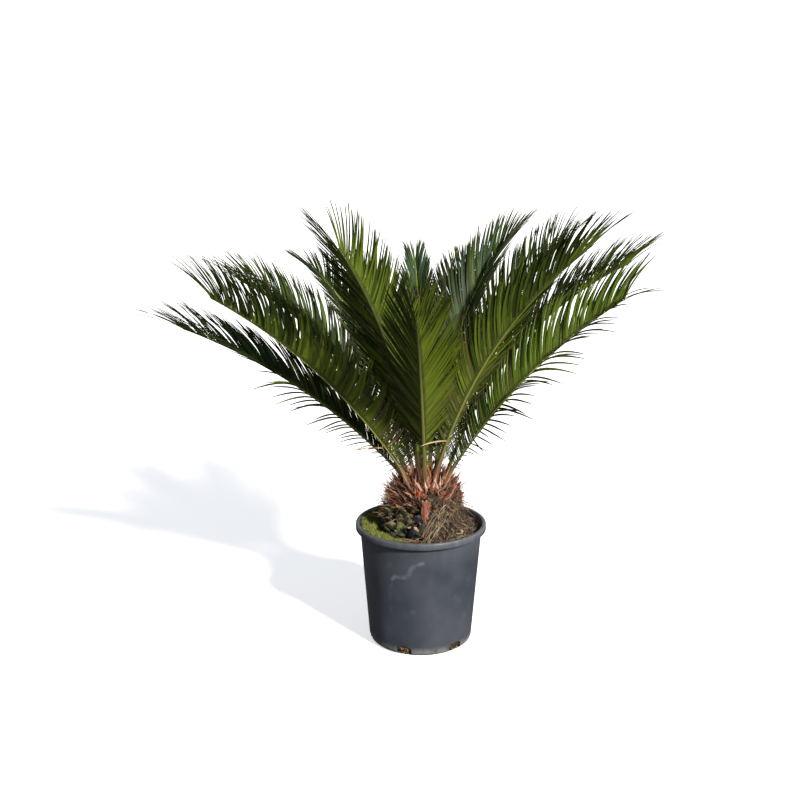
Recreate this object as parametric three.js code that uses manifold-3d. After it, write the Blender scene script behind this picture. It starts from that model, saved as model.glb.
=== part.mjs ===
// Sago palm (Cycas revoluta) in its nursery pot.
// Millimetres, +Z up. The origin is the centre of the pot's flat underside, and -Y is the front.
// Each frond is one thin blade, cut to its rib between the leaflets. A leaflet here stands for about five.

import * as THREE from 'three';
import { mergeVertices } from 'three/addons/utils/BufferGeometryUtils.js';
import Module from 'manifold-3d';

const wasm = await Module();
wasm.setup();

// ---------------------------------------------------------------- driving dimensions

const GAP = 0.3; // between pieces that touch
const UP = new THREE.Vector3(0, 0, 1);

// Pot: a tapered container with a rolled lip and notches through its bottom edge.
const POT_HEIGHT = 360;
const POT_RIM_RADIUS = 191;
const POT_TOP_RADIUS = 178; // body, just below the lip
const POT_FOOT_RADIUS = 152; // body, just above the rounded bottom edge
const POT_EDGE_ROUND = 15;
const POT_WALL = 3;
const LIP_HEIGHT = 20;
const LIP_ROUND = 5;
const POT_SEGMENTS = 44;
const NOTCH_COUNT = 6;
const NOTCH_WIDTH = 46;
const NOTCH_HEIGHT = 30;
const NOTCH_SPRING = 0.55; // share of its height where the arch starts
const NOTCH_FULLNESS = 0.8; // how square the arch is
const NOTCH_DEPTH = 26;
const NOTCH_FIRST_ANGLE = -108; // degrees from +X

// Potting mix, with a flat bed under the trunk.
const SOIL_LEVEL = 334;
const SOIL_EDGE_DROP = 9;
const SOIL_BED_RADIUS = 158;

// Trunk: a stout stem under old leaf bases, with its foot cut flat on the soil. It leans to the right.
const TRUNK_FOOT = SOIL_LEVEL + GAP;
const TRUNK_HEIGHT = 175;
const TRUNK_FOOT_X = 2;
const TRUNK_TOP_X = 15;
const TRUNK_SEGMENTS = 24;
const TRUNK_PROFILE = [ // radius, height above the foot
  [0, 0], [112, 0], [106, 16], [98, 50], [94, 95], [92, 118],
  [87, 134], [76, 146], [58, 157], [36, 169], [18, 174], [0, TRUNK_HEIGHT],
];
const SHOULDER_FIRST = 6; // the profile's first point on the shoulder, which faces up

// Old leaf bases in rings round the stem, and the pointed scales above them.
const BASE_RINGS = 5;
const BASES_PER_RING = 13;
const BASE_FIRST_HEIGHT = 16;
const BASE_RING_STEP = 23;
const BASE_WIDTH = 27;
const BASE_LENGTH = 34;
const BASE_SUNK = 17; // length inside the stem
const BASE_RISE = { first: 18, step: 7 }; // lean up from level, in degrees, and what each ring adds
const BASE_VARY = 0.22;
const SCALE_RINGS = 2;
const SCALES_PER_RING = 17;
const SCALE_FIRST_HEIGHT = 118;
const SCALE_RING_STEP = 15;
const SCALE_WIDTH = 16;
const SCALE_LENGTH = 62;
const SCALE_SUNK = 14;
const SCALE_RISE = { first: 52, step: 14 };
const SCALE_VARY = 0.2;
const PIECE_SWAY = 4; // degrees round the stem, and for the scales' lean

// Bud of folded scales in the middle of the crown.
const BUD_RADIUS = 20;
const BUD_HEIGHT = 52;
const BUD_SUNK = 12; // length inside the trunk, which the trunk then cuts away
const BUD_SEGMENTS = 10;

// Moss on the soil, in cushions along the left and the front.
const MOSS_FIRST_ANGLE = 140;
const MOSS_LAST_ANGLE = 262;
const MOSS_CUSHIONS = 7;
const MOSS_RING_RADIUS = 150;
const MOSS_CUSHION_RADIUS = 14;
const MOSS_HEIGHT = 13;
const MOSS_STRETCH = 2.2; // along the ring
const MOSS_VARY = 0.14;

// Fronds: the feet stand on two rings of the trunk's shoulder.
const OUTER_FOOT = { radius: 58, height: 491 };
const INNER_FOOT = { radius: 36, height: 503 };
const FOOT_SUNK = 26; // length inside the trunk, which the trunk then cuts away
const BARE_SHARE = 0.13; // share of the rib with no leaflets, unless its frond has its own
const ARCH_POWER = 1.15; // how late the rib bends over
const RIB_WIDTH = { foot: 19, first: 10, tip: 3 };
const RIB_DEPTH = { foot: 15, first: 8.5, tip: 2.6 };

const LEAFLETS_PER_SIDE = 20;
const LEAFLET_LENGTH = 182; // the longest, along the middle of a frond
const LEAFLET_ROOT = 10;
const LEAFLET_WIDTH = 15.5;
const LEAFLET_THICK_SHARE = 0.0125; // of its length
const LEAFLET_THICK_LEAST = 1.6;
const LEAFLET_WIDEST = 0.58; // share of its length
const LEAFLET_SHORTEST = 0.5; // share of the longest, at the foot
const LEAFLET_LONGEST_AT = 0.42; // share of the leafy part, from which they stay long
const LEAFLET_TIP_LOSS = 0.2;
const LEAFLET_ANGLE = { first: 64, last: 37 }; // to the rib, in degrees
const TIP_FAN = { from: 0.92, to: 0.995, close: 16, power: 1.4 }; // the last leaflets close on the rib, by degrees
const KEEL_POWER = 2.2; // how late the keel steepens
const LEAFLET_BEND = { forward: 0.5, back: 0.3, down: 0.1 };
const THIN_DROOP = 0.6; // how much more the leaflets of a thin side bend down
const THIN_LENGTH = 0.85; // share of their length that they have
const LEAFLET_CLEAR = 0.9; // kept to the other fronds
const SHORTER_TRIES = [1, 0.85, 0.7, 0.55, 0.4];

// One row for each frond, in the order in which they take their space. Angles in degrees: azimuth from
// +X towards the back (+Y), rise of the rib at its foot and at its tip, turn of the azimuth from foot to
// tip, roll about the rib at the foot and what it gains by the tip, and the keel at the foot and at the
// tip, by which both rows of leaflets rise out of the frond's plane. Leaf scales the leaflets' length.
// Lean is what the left and the right row add to the leaflets' angle. A thin side droops up to a share.
const FRONDS = [
  { name: 'frond_front', azimuth: 266.5, rise: [66, 38], length: 700, turn: 0,
    roll: [0, 0], keel: [36, 56], leaf: 1.08, lean: [-6, -6],
    bare: 0.25, foot: OUTER_FOOT },
  { name: 'frond_front_right', azimuth: 318, rise: [71, 39], length: 835, turn: 11,
    roll: [-24, 0], keel: [34, 66], leaf: 1.02, lean: [2, -12],
    bare: 0.18, foot: INNER_FOOT },
  { name: 'frond_front_left', azimuth: 239, rise: [75, 44], length: 810, turn: 0,
    roll: [26, -4], keel: [40, 52], leaf: 1.02, lean: [2, 2],
    bare: 0.18, foot: INNER_FOOT },
  { name: 'frond_left_front', azimuth: 207, rise: [58, 31], length: 795, turn: -12,
    roll: [2, 0], keel: [52, 64], leaf: 1.08, lean: [16, 14],
    foot: OUTER_FOOT },
  { name: 'frond_left', azimuth: 183, rise: [48, 21], length: 775, turn: 0,
    roll: [-20, 10], keel: [20, 66], leaf: 0.98, lean: [0, -8], thin: { side: 1, until: 0.6 },
    foot: OUTER_FOOT },
  { name: 'frond_right_front', azimuth: 342, rise: [60, 35], length: 745, turn: 4,
    roll: [48, -20], keel: [20, 55], leaf: 0.98, lean: [6, -2], thin: { side: -1, until: 1 },
    bare: 0.16, foot: OUTER_FOOT },
  { name: 'frond_back_right', azimuth: 58, rise: [87, 26], length: 805, turn: -4,
    roll: [0, 0], keel: [44, 58], leaf: 1.08, lean: [-14, -10],
    foot: OUTER_FOOT },
  { name: 'frond_right', azimuth: 11, rise: [72, 24], length: 830, turn: -5,
    roll: [0, 0], keel: [38, 56], leaf: 1.0, lean: [0, 0],
    foot: OUTER_FOOT },
  { name: 'frond_back', azimuth: 93.5, rise: [62, 25], length: 815, turn: 0,
    roll: [0, 0], keel: [42, 60], leaf: 0.84, lean: [-14, -14],
    foot: OUTER_FOOT },
  { name: 'frond_left_back', azimuth: 157, rise: [65, 21], length: 790, turn: 0,
    roll: [0, 0], keel: [42, 60], leaf: 1.0, lean: [0, 0],
    foot: OUTER_FOOT },
  { name: 'frond_back_left', azimuth: 130, rise: [70, 22], length: 770, turn: 0,
    roll: [0, 0], keel: [30, 50], leaf: 0.9, lean: [-10, -8],
    foot: OUTER_FOOT },
  { name: 'frond_right_back', azimuth: 33, rise: [72, 35], length: 795, turn: 2,
    roll: [0, 0], keel: [38, 56], leaf: 1.0, lean: [0, 0],
    foot: INNER_FOOT },
  { name: 'frond_back_inner_right', azimuth: 75, rise: [76, 12], length: 790, turn: 0,
    roll: [0, 0], keel: [38, 60], leaf: 0.9, lean: [0, 0],
    foot: INNER_FOOT },
  { name: 'frond_back_inner_left', azimuth: 115, rise: [74, 10], length: 790, turn: 0,
    roll: [0, 0], keel: [38, 60], leaf: 0.9, lean: [0, 0],
    foot: INNER_FOOT },
];

// ---------------------------------------------------------------- materials

const material = (color, roughness) => new THREE.MeshStandardMaterial({ color, roughness, metalness: 0 });
const potPlastic = material(0x3d4449, 0.6);
const pottingMix = material(0x4a3a2a, 0.95);
const mossGreen = material(0x6f8a1e, 0.95);
const trunkBark = material(0x8a5a45, 0.9);
const frondGreen = material(0x3f6a1e, 0.4);

// ---------------------------------------------------------------- small helpers

const radians = THREE.MathUtils.degToRad;
const mix = THREE.MathUtils.lerp;

// Closed solid of a three.js geometry, for joining and cutting.
function solidOf(geometry) {
  const bare = geometry.clone();
  bare.deleteAttribute('normal');
  bare.deleteAttribute('uv');
  const welded = mergeVertices(bare, 1e-4);
  const mesh = new wasm.Mesh({
    numProp: 3,
    vertProperties: new Float32Array(welded.attributes.position.array),
    triVerts: new Uint32Array(welded.index.array),
  });
  return new wasm.Manifold(mesh);
}

function geometryOf(solid) {
  const mesh = solid.getMesh();
  const geometry = new THREE.BufferGeometry();
  geometry.setAttribute('position', new THREE.BufferAttribute(mesh.vertProperties, 3));
  geometry.setIndex(new THREE.BufferAttribute(mesh.triVerts, 1));
  return geometry;
}

// Turned body about the Z axis. The profile runs from the axis at the bottom to the axis at the top.
function turned(profile, segments) {
  const points = profile.map(([radius, height]) => new THREE.Vector2(radius, height));
  return new THREE.LatheGeometry(points, segments).rotateX(Math.PI / 2);
}

// Points of a quarter circle from one angle to the other, in degrees.
function arc(centreX, centreY, radius, from, to, steps) {
  const points = [];
  for (let i = 0; i <= steps; i += 1) {
    const angle = radians(mix(from, to, i / steps));
    points.push([centreX + radius * Math.cos(angle), centreY + radius * Math.sin(angle)]);
  }
  return points;
}

// Skin of four-sided rings, which builds blades and ribs face by face.
class Skin {
  constructor() {
    this.points = [];
    this.faces = [];
  }

  ring(corners) {
    return corners.map((corner) => this.points.push(corner) - 1);
  }

  quad(a, b, c, d) {
    this.faces.push([a, b, c], [a, c, d]);
  }

  // Walls between two rings, leaving out the sides that something else closes.
  walls(first, second, open = []) {
    for (let i = 0; i < 4; i += 1) {
      if (open.includes(i)) continue;
      const next = (i + 1) % 4;
      this.quad(first[i], first[next], second[next], second[i]);
    }
  }

  // Blade that starts on a root ring, passes one ring and ends in a point.
  blade(root, corners, tip) {
    const widest = this.ring(corners);
    const [end] = this.ring([tip]);
    this.walls(root, widest);
    for (let i = 0; i < 4; i += 1) {
      this.faces.push([widest[i], widest[(i + 1) % 4], end]);
    }
  }

  geometry() {
    const geometry = new THREE.BufferGeometry();
    geometry.setFromPoints(this.points);
    geometry.setIndex(this.faces.flat());
    return geometry;
  }
}

// ---------------------------------------------------------------- pot and soil

// Radius of the pot's body at a height, before the bottom edge is rounded.
function potRadius(height) {
  const share = (height - POT_EDGE_ROUND) / (POT_HEIGHT - LIP_HEIGHT - POT_EDGE_ROUND);
  return mix(POT_FOOT_RADIUS, POT_TOP_RADIUS, share);
}

function potProfile() {
  const lipFoot = POT_HEIGHT - LIP_HEIGHT;
  const edge = arc(POT_FOOT_RADIUS - POT_EDGE_ROUND, POT_EDGE_ROUND, POT_EDGE_ROUND, -90, 0, 3);
  const lipRoll = arc(POT_RIM_RADIUS - LIP_ROUND, POT_HEIGHT - LIP_ROUND, LIP_ROUND, 0, 90, 2);
  const innerEdge = arc(
    POT_FOOT_RADIUS - POT_EDGE_ROUND, POT_EDGE_ROUND, POT_EDGE_ROUND - POT_WALL, 0, -90, 2,
  );
  return [
    [0, 0],
    ...edge,
    [POT_TOP_RADIUS, lipFoot],
    [POT_RIM_RADIUS - LIP_ROUND / 2, lipFoot + 1],
    ...lipRoll,
    [POT_TOP_RADIUS + POT_WALL, POT_HEIGHT],
    [POT_TOP_RADIUS - POT_WALL, lipFoot],
    ...innerEdge,
    [0, POT_WALL],
  ];
}

// Arch that is pushed through the pot's bottom edge for one drainage notch.
function notchTool(angle) {
  const half = NOTCH_WIDTH / 2;
  const spring = NOTCH_HEIGHT * NOTCH_SPRING;
  const shape = new THREE.Shape();
  shape.moveTo(-half, -1);
  shape.lineTo(half, -1);
  shape.lineTo(half, spring);
  shape.quadraticCurveTo(half * NOTCH_FULLNESS, NOTCH_HEIGHT, 0, NOTCH_HEIGHT);
  shape.quadraticCurveTo(-half * NOTCH_FULLNESS, NOTCH_HEIGHT, -half, spring);
  const extent = { depth: NOTCH_DEPTH, curveSegments: 3, bevelEnabled: false };
  const tool = new THREE.ExtrudeGeometry(shape, extent);
  tool.rotateX(Math.PI / 2);
  tool.rotateZ(Math.PI / 2);
  tool.translate(POT_FOOT_RADIUS + POT_EDGE_ROUND - NOTCH_DEPTH, 0, 0);
  return tool.rotateZ(radians(angle));
}

function potGeometry() {
  let pot = solidOf(turned(potProfile(), POT_SEGMENTS));
  for (let i = 0; i < NOTCH_COUNT; i += 1) {
    pot = pot.subtract(solidOf(notchTool(NOTCH_FIRST_ANGLE + i * 360 / NOTCH_COUNT)));
  }
  return geometryOf(pot);
}

function soilGeometry() {
  const inner = (height) => potRadius(height) - POT_WALL - 2 * GAP;
  const edgeLevel = SOIL_LEVEL - SOIL_EDGE_DROP;
  const corner = POT_EDGE_ROUND - POT_WALL;
  const foot = arc(
    POT_FOOT_RADIUS - POT_EDGE_ROUND, POT_EDGE_ROUND, corner - 2 * GAP, -90, 0, 2,
  );
  return turned([
    [0, POT_WALL + 2 * GAP],
    ...foot,
    [inner(edgeLevel), edgeLevel],
    [SOIL_BED_RADIUS, SOIL_LEVEL],
    [0, SOIL_LEVEL],
  ], POT_SEGMENTS);
}

// Low cushions that run into each other, cut flat where they lie on the soil.
function mossGeometry() {
  const bed = SOIL_LEVEL + GAP;
  let moss = null;
  for (let i = 0; i < MOSS_CUSHIONS; i += 1) {
    const angle = radians(mix(MOSS_FIRST_ANGLE, MOSS_LAST_ANGLE, i / (MOSS_CUSHIONS - 1)));
    const size = 1 + MOSS_VARY * Math.sin(i * 2.3);
    const cushion = new THREE.SphereGeometry(MOSS_CUSHION_RADIUS, 8, 5);
    cushion.rotateX(Math.PI / 2);
    cushion.scale(size, MOSS_STRETCH * size, MOSS_HEIGHT / MOSS_CUSHION_RADIUS);
    cushion.translate(MOSS_RING_RADIUS, 0, bed);
    cushion.rotateZ(angle);
    moss = moss ? moss.add(solidOf(cushion)) : solidOf(cushion);
  }
  const below = new THREE.BoxGeometry(2 * POT_RIM_RADIUS, 2 * POT_RIM_RADIUS, 2 * MOSS_HEIGHT);
  below.translate(0, 0, bed - MOSS_HEIGHT);
  return geometryOf(moss.subtract(solidOf(below)));
}

// ---------------------------------------------------------------- frond rule

// Place and axes of the rib at a share of its length: along it, to its left side and out of its upper face.
function ribStation(frond, share) {
  const steps = 24;
  const bend = Math.max(share, 0);
  const direction = (u) => {
    const rise = radians(mix(frond.rise[0], frond.rise[1], u ** ARCH_POWER));
    const azimuth = radians(frond.azimuth + frond.turn * u);
    const flat = Math.cos(rise);
    return new THREE.Vector3(flat * Math.cos(azimuth), flat * Math.sin(azimuth), Math.sin(rise));
  };
  const foot = radians(frond.azimuth);
  const point = new THREE.Vector3(
    TRUNK_TOP_X + frond.foot.radius * Math.cos(foot), frond.foot.radius * Math.sin(foot), frond.foot.height,
  );
  for (let i = 0; i < steps; i += 1) {
    point.addScaledVector(direction(bend * (i + 0.5) / steps), frond.length * bend / steps);
  }
  const along = direction(bend);
  point.addScaledVector(along, frond.length * Math.min(share, 0));
  const azimuth = radians(frond.azimuth + frond.turn * bend);
  const level = new THREE.Vector3(-Math.sin(azimuth), Math.cos(azimuth), 0);
  const roll = radians(frond.roll[0] + frond.roll[1] * bend);
  const side = level.applyAxisAngle(along, roll);
  const upper = along.clone().cross(side);
  return { share, point, along, side, upper };
}

// Size of the rib, thick at the foot, slimmer from the first leaflet on.
function ribSize(sizes, share) {
  if (share < BARE_SHARE) return mix(sizes.foot, sizes.first, Math.max(share, 0) / BARE_SHARE);
  return mix(sizes.first, sizes.tip, (share - BARE_SHARE) / (1 - BARE_SHARE));
}

function ribCorners(station, grow = 0) {
  const half = ribSize(RIB_WIDTH, station.share) / 2 + grow;
  const deep = ribSize(RIB_DEPTH, station.share) / 2 + grow;
  const corner = (a, b) => station.point.clone()
    .addScaledVector(station.side, a * half)
    .addScaledVector(station.upper, b * deep);
  return [corner(-1, -1), corner(1, -1), corner(1, 1), corner(-1, 1)];
}

// Share of a frond's rib with no leaflets.
function bareShare(frond) {
  return frond.bare ?? BARE_SHARE;
}

// Whether a leaflet is on the side of its frond that droops.
function isThin(frond, share, side) {
  return Boolean(frond.thin) && side === frond.thin.side && share < frond.thin.until;
}

// Leaflets are short at the foot, longest along the middle and a little shorter at the tip.
function leafletLength(frond, share, side) {
  const v = (share - bareShare(frond)) / (1 - bareShare(frond));
  const risen = Math.sin(Math.PI / 2 * Math.min(v / LEAFLET_LONGEST_AT, 1));
  const rising = mix(LEAFLET_SHORTEST, 1, risen);
  const falling = 1 - LEAFLET_TIP_LOSS * Math.max(2 * v - 1, 0) ** 1.5;
  const thinned = isThin(frond, share, side) ? THIN_LENGTH : 1;
  return LEAFLET_LENGTH * frond.leaf * rising * falling * thinned;
}

// Angle between a leaflet and the rib.
function leafletAngle(frond, share, side) {
  const v = (share - bareShare(frond)) / (1 - bareShare(frond));
  const past = Math.max(share - TIP_FAN.from, 0) / (TIP_FAN.to - TIP_FAN.from);
  const closed = TIP_FAN.close * Math.min(past, 1) ** TIP_FAN.power;
  const lean = side > 0 ? frond.lean[0] : frond.lean[1];
  return radians(mix(LEAFLET_ANGLE.first, LEAFLET_ANGLE.last, v) - closed + lean);
}

// A leaflet leaves its side of the rib, rises by the keel, and curves forward and down.
function leafletPath(frond, station, side, length) {
  const angle = leafletAngle(frond, station.share, side);
  const keel = radians(mix(frond.keel[0], frond.keel[1], station.share ** KEEL_POWER));
  const start = station.along.clone().multiplyScalar(Math.cos(angle))
    .addScaledVector(station.side, Math.sin(angle) * Math.cos(keel) * side)
    .addScaledVector(station.upper, Math.sin(angle) * Math.sin(keel));
  const droop = isThin(frond, station.share, side) ? THIN_DROOP : 0;
  const bend = station.along.clone().multiplyScalar(LEAFLET_BEND.forward)
    .addScaledVector(station.upper, -LEAFLET_BEND.back)
    .addScaledVector(UP, -LEAFLET_BEND.down - droop);
  const half = ribSize(RIB_WIDTH, station.share) / 2;
  const root = station.point.clone().addScaledVector(station.side, side * half);
  return (t) => root.clone().addScaledVector(start, length * t).addScaledVector(bend, length * t * t / 2);
}

// Ring at the leaflet's widest place and the point at its end.
function leafletEnds(frond, station, side, length, grow = 0) {
  const path = leafletPath(frond, station, side, length);
  const centre = path(LEAFLET_WIDEST);
  const heading = path(LEAFLET_WIDEST + 0.1).sub(centre).normalize();
  const across = station.along.clone().addScaledVector(heading, -station.along.dot(heading)).normalize();
  const face = heading.clone().cross(across).multiplyScalar(-side);
  const half = LEAFLET_WIDTH / 2 + grow;
  const deep = Math.max(length * LEAFLET_THICK_SHARE, LEAFLET_THICK_LEAST) / 2 + grow;
  const corner = (a, b) => centre.clone().addScaledVector(across, a * half).addScaledVector(face, b * deep);
  const corners = side > 0
    ? [corner(-1, -1), corner(-1, 1), corner(1, 1), corner(1, -1)]
    : [corner(-1, 1), corner(-1, -1), corner(1, -1), corner(1, 1)];
  return { corners, tip: path(1).addScaledVector(heading, grow) };
}

// The corners of a rib piece that carry the leaflet of one side.
function rootOf(before, after, side) {
  return side > 0
    ? [before[1], before[2], after[2], after[1]]
    : [before[3], before[0], after[0], after[3]];
}

// ---------------------------------------------------------------- keeping clear of each other

// Small solids that are already placed, with their boxes for a quick first test.
const placed = [];

function remember(owner, solid) {
  const { min, max } = solid.boundingBox();
  placed.push({ owner, solid, min, max });
}

function touchesOthers(owner, solid) {
  const { min, max } = solid.boundingBox();
  const apart = (other) => [0, 1, 2].some((k) => min[k] > other.max[k] || max[k] < other.min[k]);
  return placed.some((other) => other.owner !== owner
    && !apart(other)
    && solid.intersect(other.solid).volume() > 0);
}

function ribPiece(before, after) {
  const skin = new Skin();
  const first = skin.ring(before);
  const last = skin.ring(after);
  skin.walls(first, last);
  skin.quad(...first.slice().reverse());
  skin.quad(...last);
  return solidOf(skin.geometry());
}

function leafletPiece(root, ends) {
  const skin = new Skin();
  const first = skin.ring(root);
  skin.blade(first, ends.corners, ends.tip);
  skin.quad(...first.slice().reverse());
  return solidOf(skin.geometry());
}

// ---------------------------------------------------------------- fronds

// Shares of the rib's length at which a ring is set: the foot, then two for each pair of leaflets.
function frondStations(frond) {
  const halfRoot = LEAFLET_ROOT / 2 / frond.length;
  const bare = bareShare(frond);
  const shares = [-FOOT_SUNK / frond.length, 0, bare / 2];
  for (let i = 0; i < LEAFLETS_PER_SIDE; i += 1) {
    const middle = mix(bare, 1, (i + 0.5) / LEAFLETS_PER_SIDE);
    shares.push(middle - halfRoot, middle + halfRoot);
  }
  shares.push(1);
  return shares.map((share) => ribStation(frond, share));
}

// The stations that start a pair of leaflets are every second one after the bare part.
const startsLeaflets = (index, count) => index >= 3 && index < count - 2 && index % 2 === 1;

function rememberRib(frond) {
  const stations = frondStations(frond);
  for (let i = 1; i < stations.length; i += 1) {
    const before = ribCorners(stations[i - 1], LEAFLET_CLEAR);
    remember(frond.name, ribPiece(before, ribCorners(stations[i], LEAFLET_CLEAR)));
  }
}

// The longest try of a leaflet that touches no other frond, or nothing.
function fittingLeaflet(frond, before, after, side) {
  const station = ribStation(frond, (before.share + after.share) / 2);
  const root = rootOf(ribCorners(before, LEAFLET_CLEAR), ribCorners(after, LEAFLET_CLEAR), side);
  for (const shorter of SHORTER_TRIES) {
    const length = leafletLength(frond, station.share, side) * shorter;
    const grown = leafletPiece(root, leafletEnds(frond, station, side, length, LEAFLET_CLEAR));
    if (!touchesOthers(frond.name, grown)) {
      remember(frond.name, grown);
      return leafletEnds(frond, station, side, length);
    }
  }
  return null;
}

function frondGeometry(frond) {
  const stations = frondStations(frond);
  const skin = new Skin();
  const rings = stations.map((station) => skin.ring(ribCorners(station)));
  skin.quad(...rings[0].slice().reverse());
  skin.quad(...rings[rings.length - 1]);
  for (let i = 1; i < stations.length; i += 1) {
    const open = [];
    if (startsLeaflets(i - 1, stations.length)) {
      for (const side of [1, -1]) {
        const ends = fittingLeaflet(frond, stations[i - 1], stations[i], side);
        if (!ends) continue;
        skin.blade(rootOf(rings[i - 1], rings[i], side), ends.corners, ends.tip);
        open.push(side > 0 ? 1 : 3);
      }
    }
    skin.walls(rings[i - 1], rings[i], open);
  }
  return skin.geometry();
}

// ---------------------------------------------------------------- trunk

const leanAt = (height) => mix(TRUNK_FOOT_X, TRUNK_TOP_X, height / TRUNK_HEIGHT);

// The stem's own turned shape, or the same grown by a clearance, sheared to its lean.
function stemGeometry(grow) {
  const profile = TRUNK_PROFILE.map(([radius, height], i) => [
    radius > 0 ? radius + grow : 0,
    i < SHOULDER_FIRST ? height : height + grow,
  ]);
  const stem = turned(profile, TRUNK_SEGMENTS);
  const lean = (TRUNK_TOP_X - TRUNK_FOOT_X) / TRUNK_HEIGHT;
  stem.applyMatrix4(new THREE.Matrix4().makeShear(0, 0, 0, 0, lean, 0));
  return stem.translate(TRUNK_FOOT_X, 0, TRUNK_FOOT);
}

function stemRadius(height) {
  const above = TRUNK_PROFILE.findIndex(([, level], i) => i > 1 && level >= height);
  const [r0, h0] = TRUNK_PROFILE[above - 1];
  const [r1, h1] = TRUNK_PROFILE[above];
  return mix(r0, r1, (height - h0) / (h1 - h0));
}

// Sets a piece that points along +Z on the stem, leaning up by a rise and sunk by a depth.
function onStem(geometry, angle, height, rise, sunk) {
  geometry.rotateY(radians(90 - rise));
  geometry.translate(stemRadius(height) - sunk, 0, 0);
  geometry.rotateZ(radians(angle));
  return geometry.translate(leanAt(height), 0, TRUNK_FOOT + height);
}

// A broken-off leaf base: a flat, four-sided stump.
function leafBase(ring, number) {
  const wobble = Math.sin(ring * 5.1 + number * 3.7);
  const length = BASE_LENGTH * (1 + BASE_VARY * wobble);
  const stump = new THREE.CylinderGeometry(BASE_WIDTH * 0.3, BASE_WIDTH * 0.62, length, 4);
  stump.rotateX(Math.PI / 2);
  stump.scale(0.7, 1, 1);
  stump.translate(0, 0, length / 2);
  const angle = (number + (ring % 2) / 2) * 360 / BASES_PER_RING + PIECE_SWAY * wobble;
  const rise = BASE_RISE.first + BASE_RISE.step * ring;
  return onStem(stump, angle, BASE_FIRST_HEIGHT + ring * BASE_RING_STEP, rise, BASE_SUNK);
}

// A pointed scale of the collar under the fronds.
function collarScale(ring, number) {
  const wobble = Math.sin(ring * 4.3 + number * 2.9);
  const length = SCALE_LENGTH * (1 + SCALE_VARY * wobble);
  const scale = new THREE.ConeGeometry(SCALE_WIDTH * 0.6, length, 4);
  scale.rotateX(Math.PI / 2);
  scale.scale(0.55, 1, 1);
  scale.translate(0, 0, length / 2);
  const angle = (number + ring / 2) * 360 / SCALES_PER_RING + PIECE_SWAY * wobble;
  const rise = SCALE_RISE.first + SCALE_RISE.step * ring + PIECE_SWAY * wobble;
  return onStem(scale, angle, SCALE_FIRST_HEIGHT + ring * SCALE_RING_STEP, rise, SCALE_SUNK);
}

function trunkGeometry() {
  let trunk = solidOf(stemGeometry(0));
  const pieces = [];
  for (let ring = 0; ring < BASE_RINGS; ring += 1) {
    for (let number = 0; number < BASES_PER_RING; number += 1) pieces.push(leafBase(ring, number));
  }
  for (let ring = 0; ring < SCALE_RINGS; ring += 1) {
    for (let number = 0; number < SCALES_PER_RING; number += 1) pieces.push(collarScale(ring, number));
  }
  for (const piece of pieces) {
    const solid = solidOf(piece);
    if (!touchesOthers('trunk', solid)) trunk = trunk.add(solid);
  }
  const ground = new THREE.BoxGeometry(3 * POT_RIM_RADIUS, 3 * POT_RIM_RADIUS, BASE_LENGTH * 2);
  ground.translate(0, 0, TRUNK_FOOT - BASE_LENGTH);
  return trunk.subtract(solidOf(ground));
}

// A pointed bud that stands on the trunk's top.
function budGeometry() {
  const top = TRUNK_FOOT + TRUNK_HEIGHT;
  const bud = turned([
    [0, -BUD_SUNK], [BUD_RADIUS * 0.8, -BUD_SUNK], [BUD_RADIUS, 0], [BUD_RADIUS * 0.8, BUD_HEIGHT * 0.45],
    [BUD_RADIUS * 0.35, BUD_HEIGHT * 0.85], [0, BUD_HEIGHT],
  ], BUD_SEGMENTS).translate(TRUNK_TOP_X, 0, top);
  return geometryOf(solidOf(bud).subtract(solidOf(stemGeometry(GAP))));
}

// ---------------------------------------------------------------- assembly

const plant = new THREE.Group();

function addPiece(name, geometry, finish) {
  geometry.computeVertexNormals();
  const mesh = new THREE.Mesh(geometry, finish);
  mesh.name = name;
  plant.add(mesh);
}

FRONDS.forEach(rememberRib);
const frondGeometries = FRONDS.map(frondGeometry);
const stemSpace = solidOf(stemGeometry(GAP));
const trunk = trunkGeometry();

addPiece('pot', potGeometry(), potPlastic);
addPiece('soil', soilGeometry(), pottingMix);
addPiece('moss', mossGeometry(), mossGreen);
addPiece('trunk', geometryOf(trunk), trunkBark);
addPiece('crown_bud', budGeometry(), trunkBark);
FRONDS.forEach((frond, i) => {
  addPiece(frond.name, geometryOf(solidOf(frondGeometries[i]).subtract(stemSpace)), frondGreen);
});

export default plant;
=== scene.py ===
"""Sago palm in its nursery pot: the looks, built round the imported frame.

Metres, +Z up, -Y is the front. The fronds grow by the rule that their solids grow by, with finer
leaflets. Every piece is made of closed forms: sections swept along paths, and profiles spun about Z.
"""

import math
from collections import namedtuple

import bpy
import numpy as np
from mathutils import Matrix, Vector, kdtree, noise


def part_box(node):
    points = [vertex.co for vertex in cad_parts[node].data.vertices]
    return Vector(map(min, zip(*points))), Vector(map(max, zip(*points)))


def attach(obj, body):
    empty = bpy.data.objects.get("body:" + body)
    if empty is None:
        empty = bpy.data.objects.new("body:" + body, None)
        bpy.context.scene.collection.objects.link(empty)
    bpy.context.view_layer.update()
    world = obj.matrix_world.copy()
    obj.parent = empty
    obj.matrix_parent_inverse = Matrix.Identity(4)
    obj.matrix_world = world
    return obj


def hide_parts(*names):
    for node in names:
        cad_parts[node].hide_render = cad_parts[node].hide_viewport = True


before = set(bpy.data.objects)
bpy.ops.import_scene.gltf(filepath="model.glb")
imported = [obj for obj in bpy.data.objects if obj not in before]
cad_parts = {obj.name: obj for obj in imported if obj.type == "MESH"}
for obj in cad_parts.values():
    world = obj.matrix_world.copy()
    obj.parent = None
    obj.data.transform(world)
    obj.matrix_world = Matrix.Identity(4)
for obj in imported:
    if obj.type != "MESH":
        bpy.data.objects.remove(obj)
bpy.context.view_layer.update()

SEED = 20
MM = 0.001
GOLDEN_ANGLE = math.radians(137.508)
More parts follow.
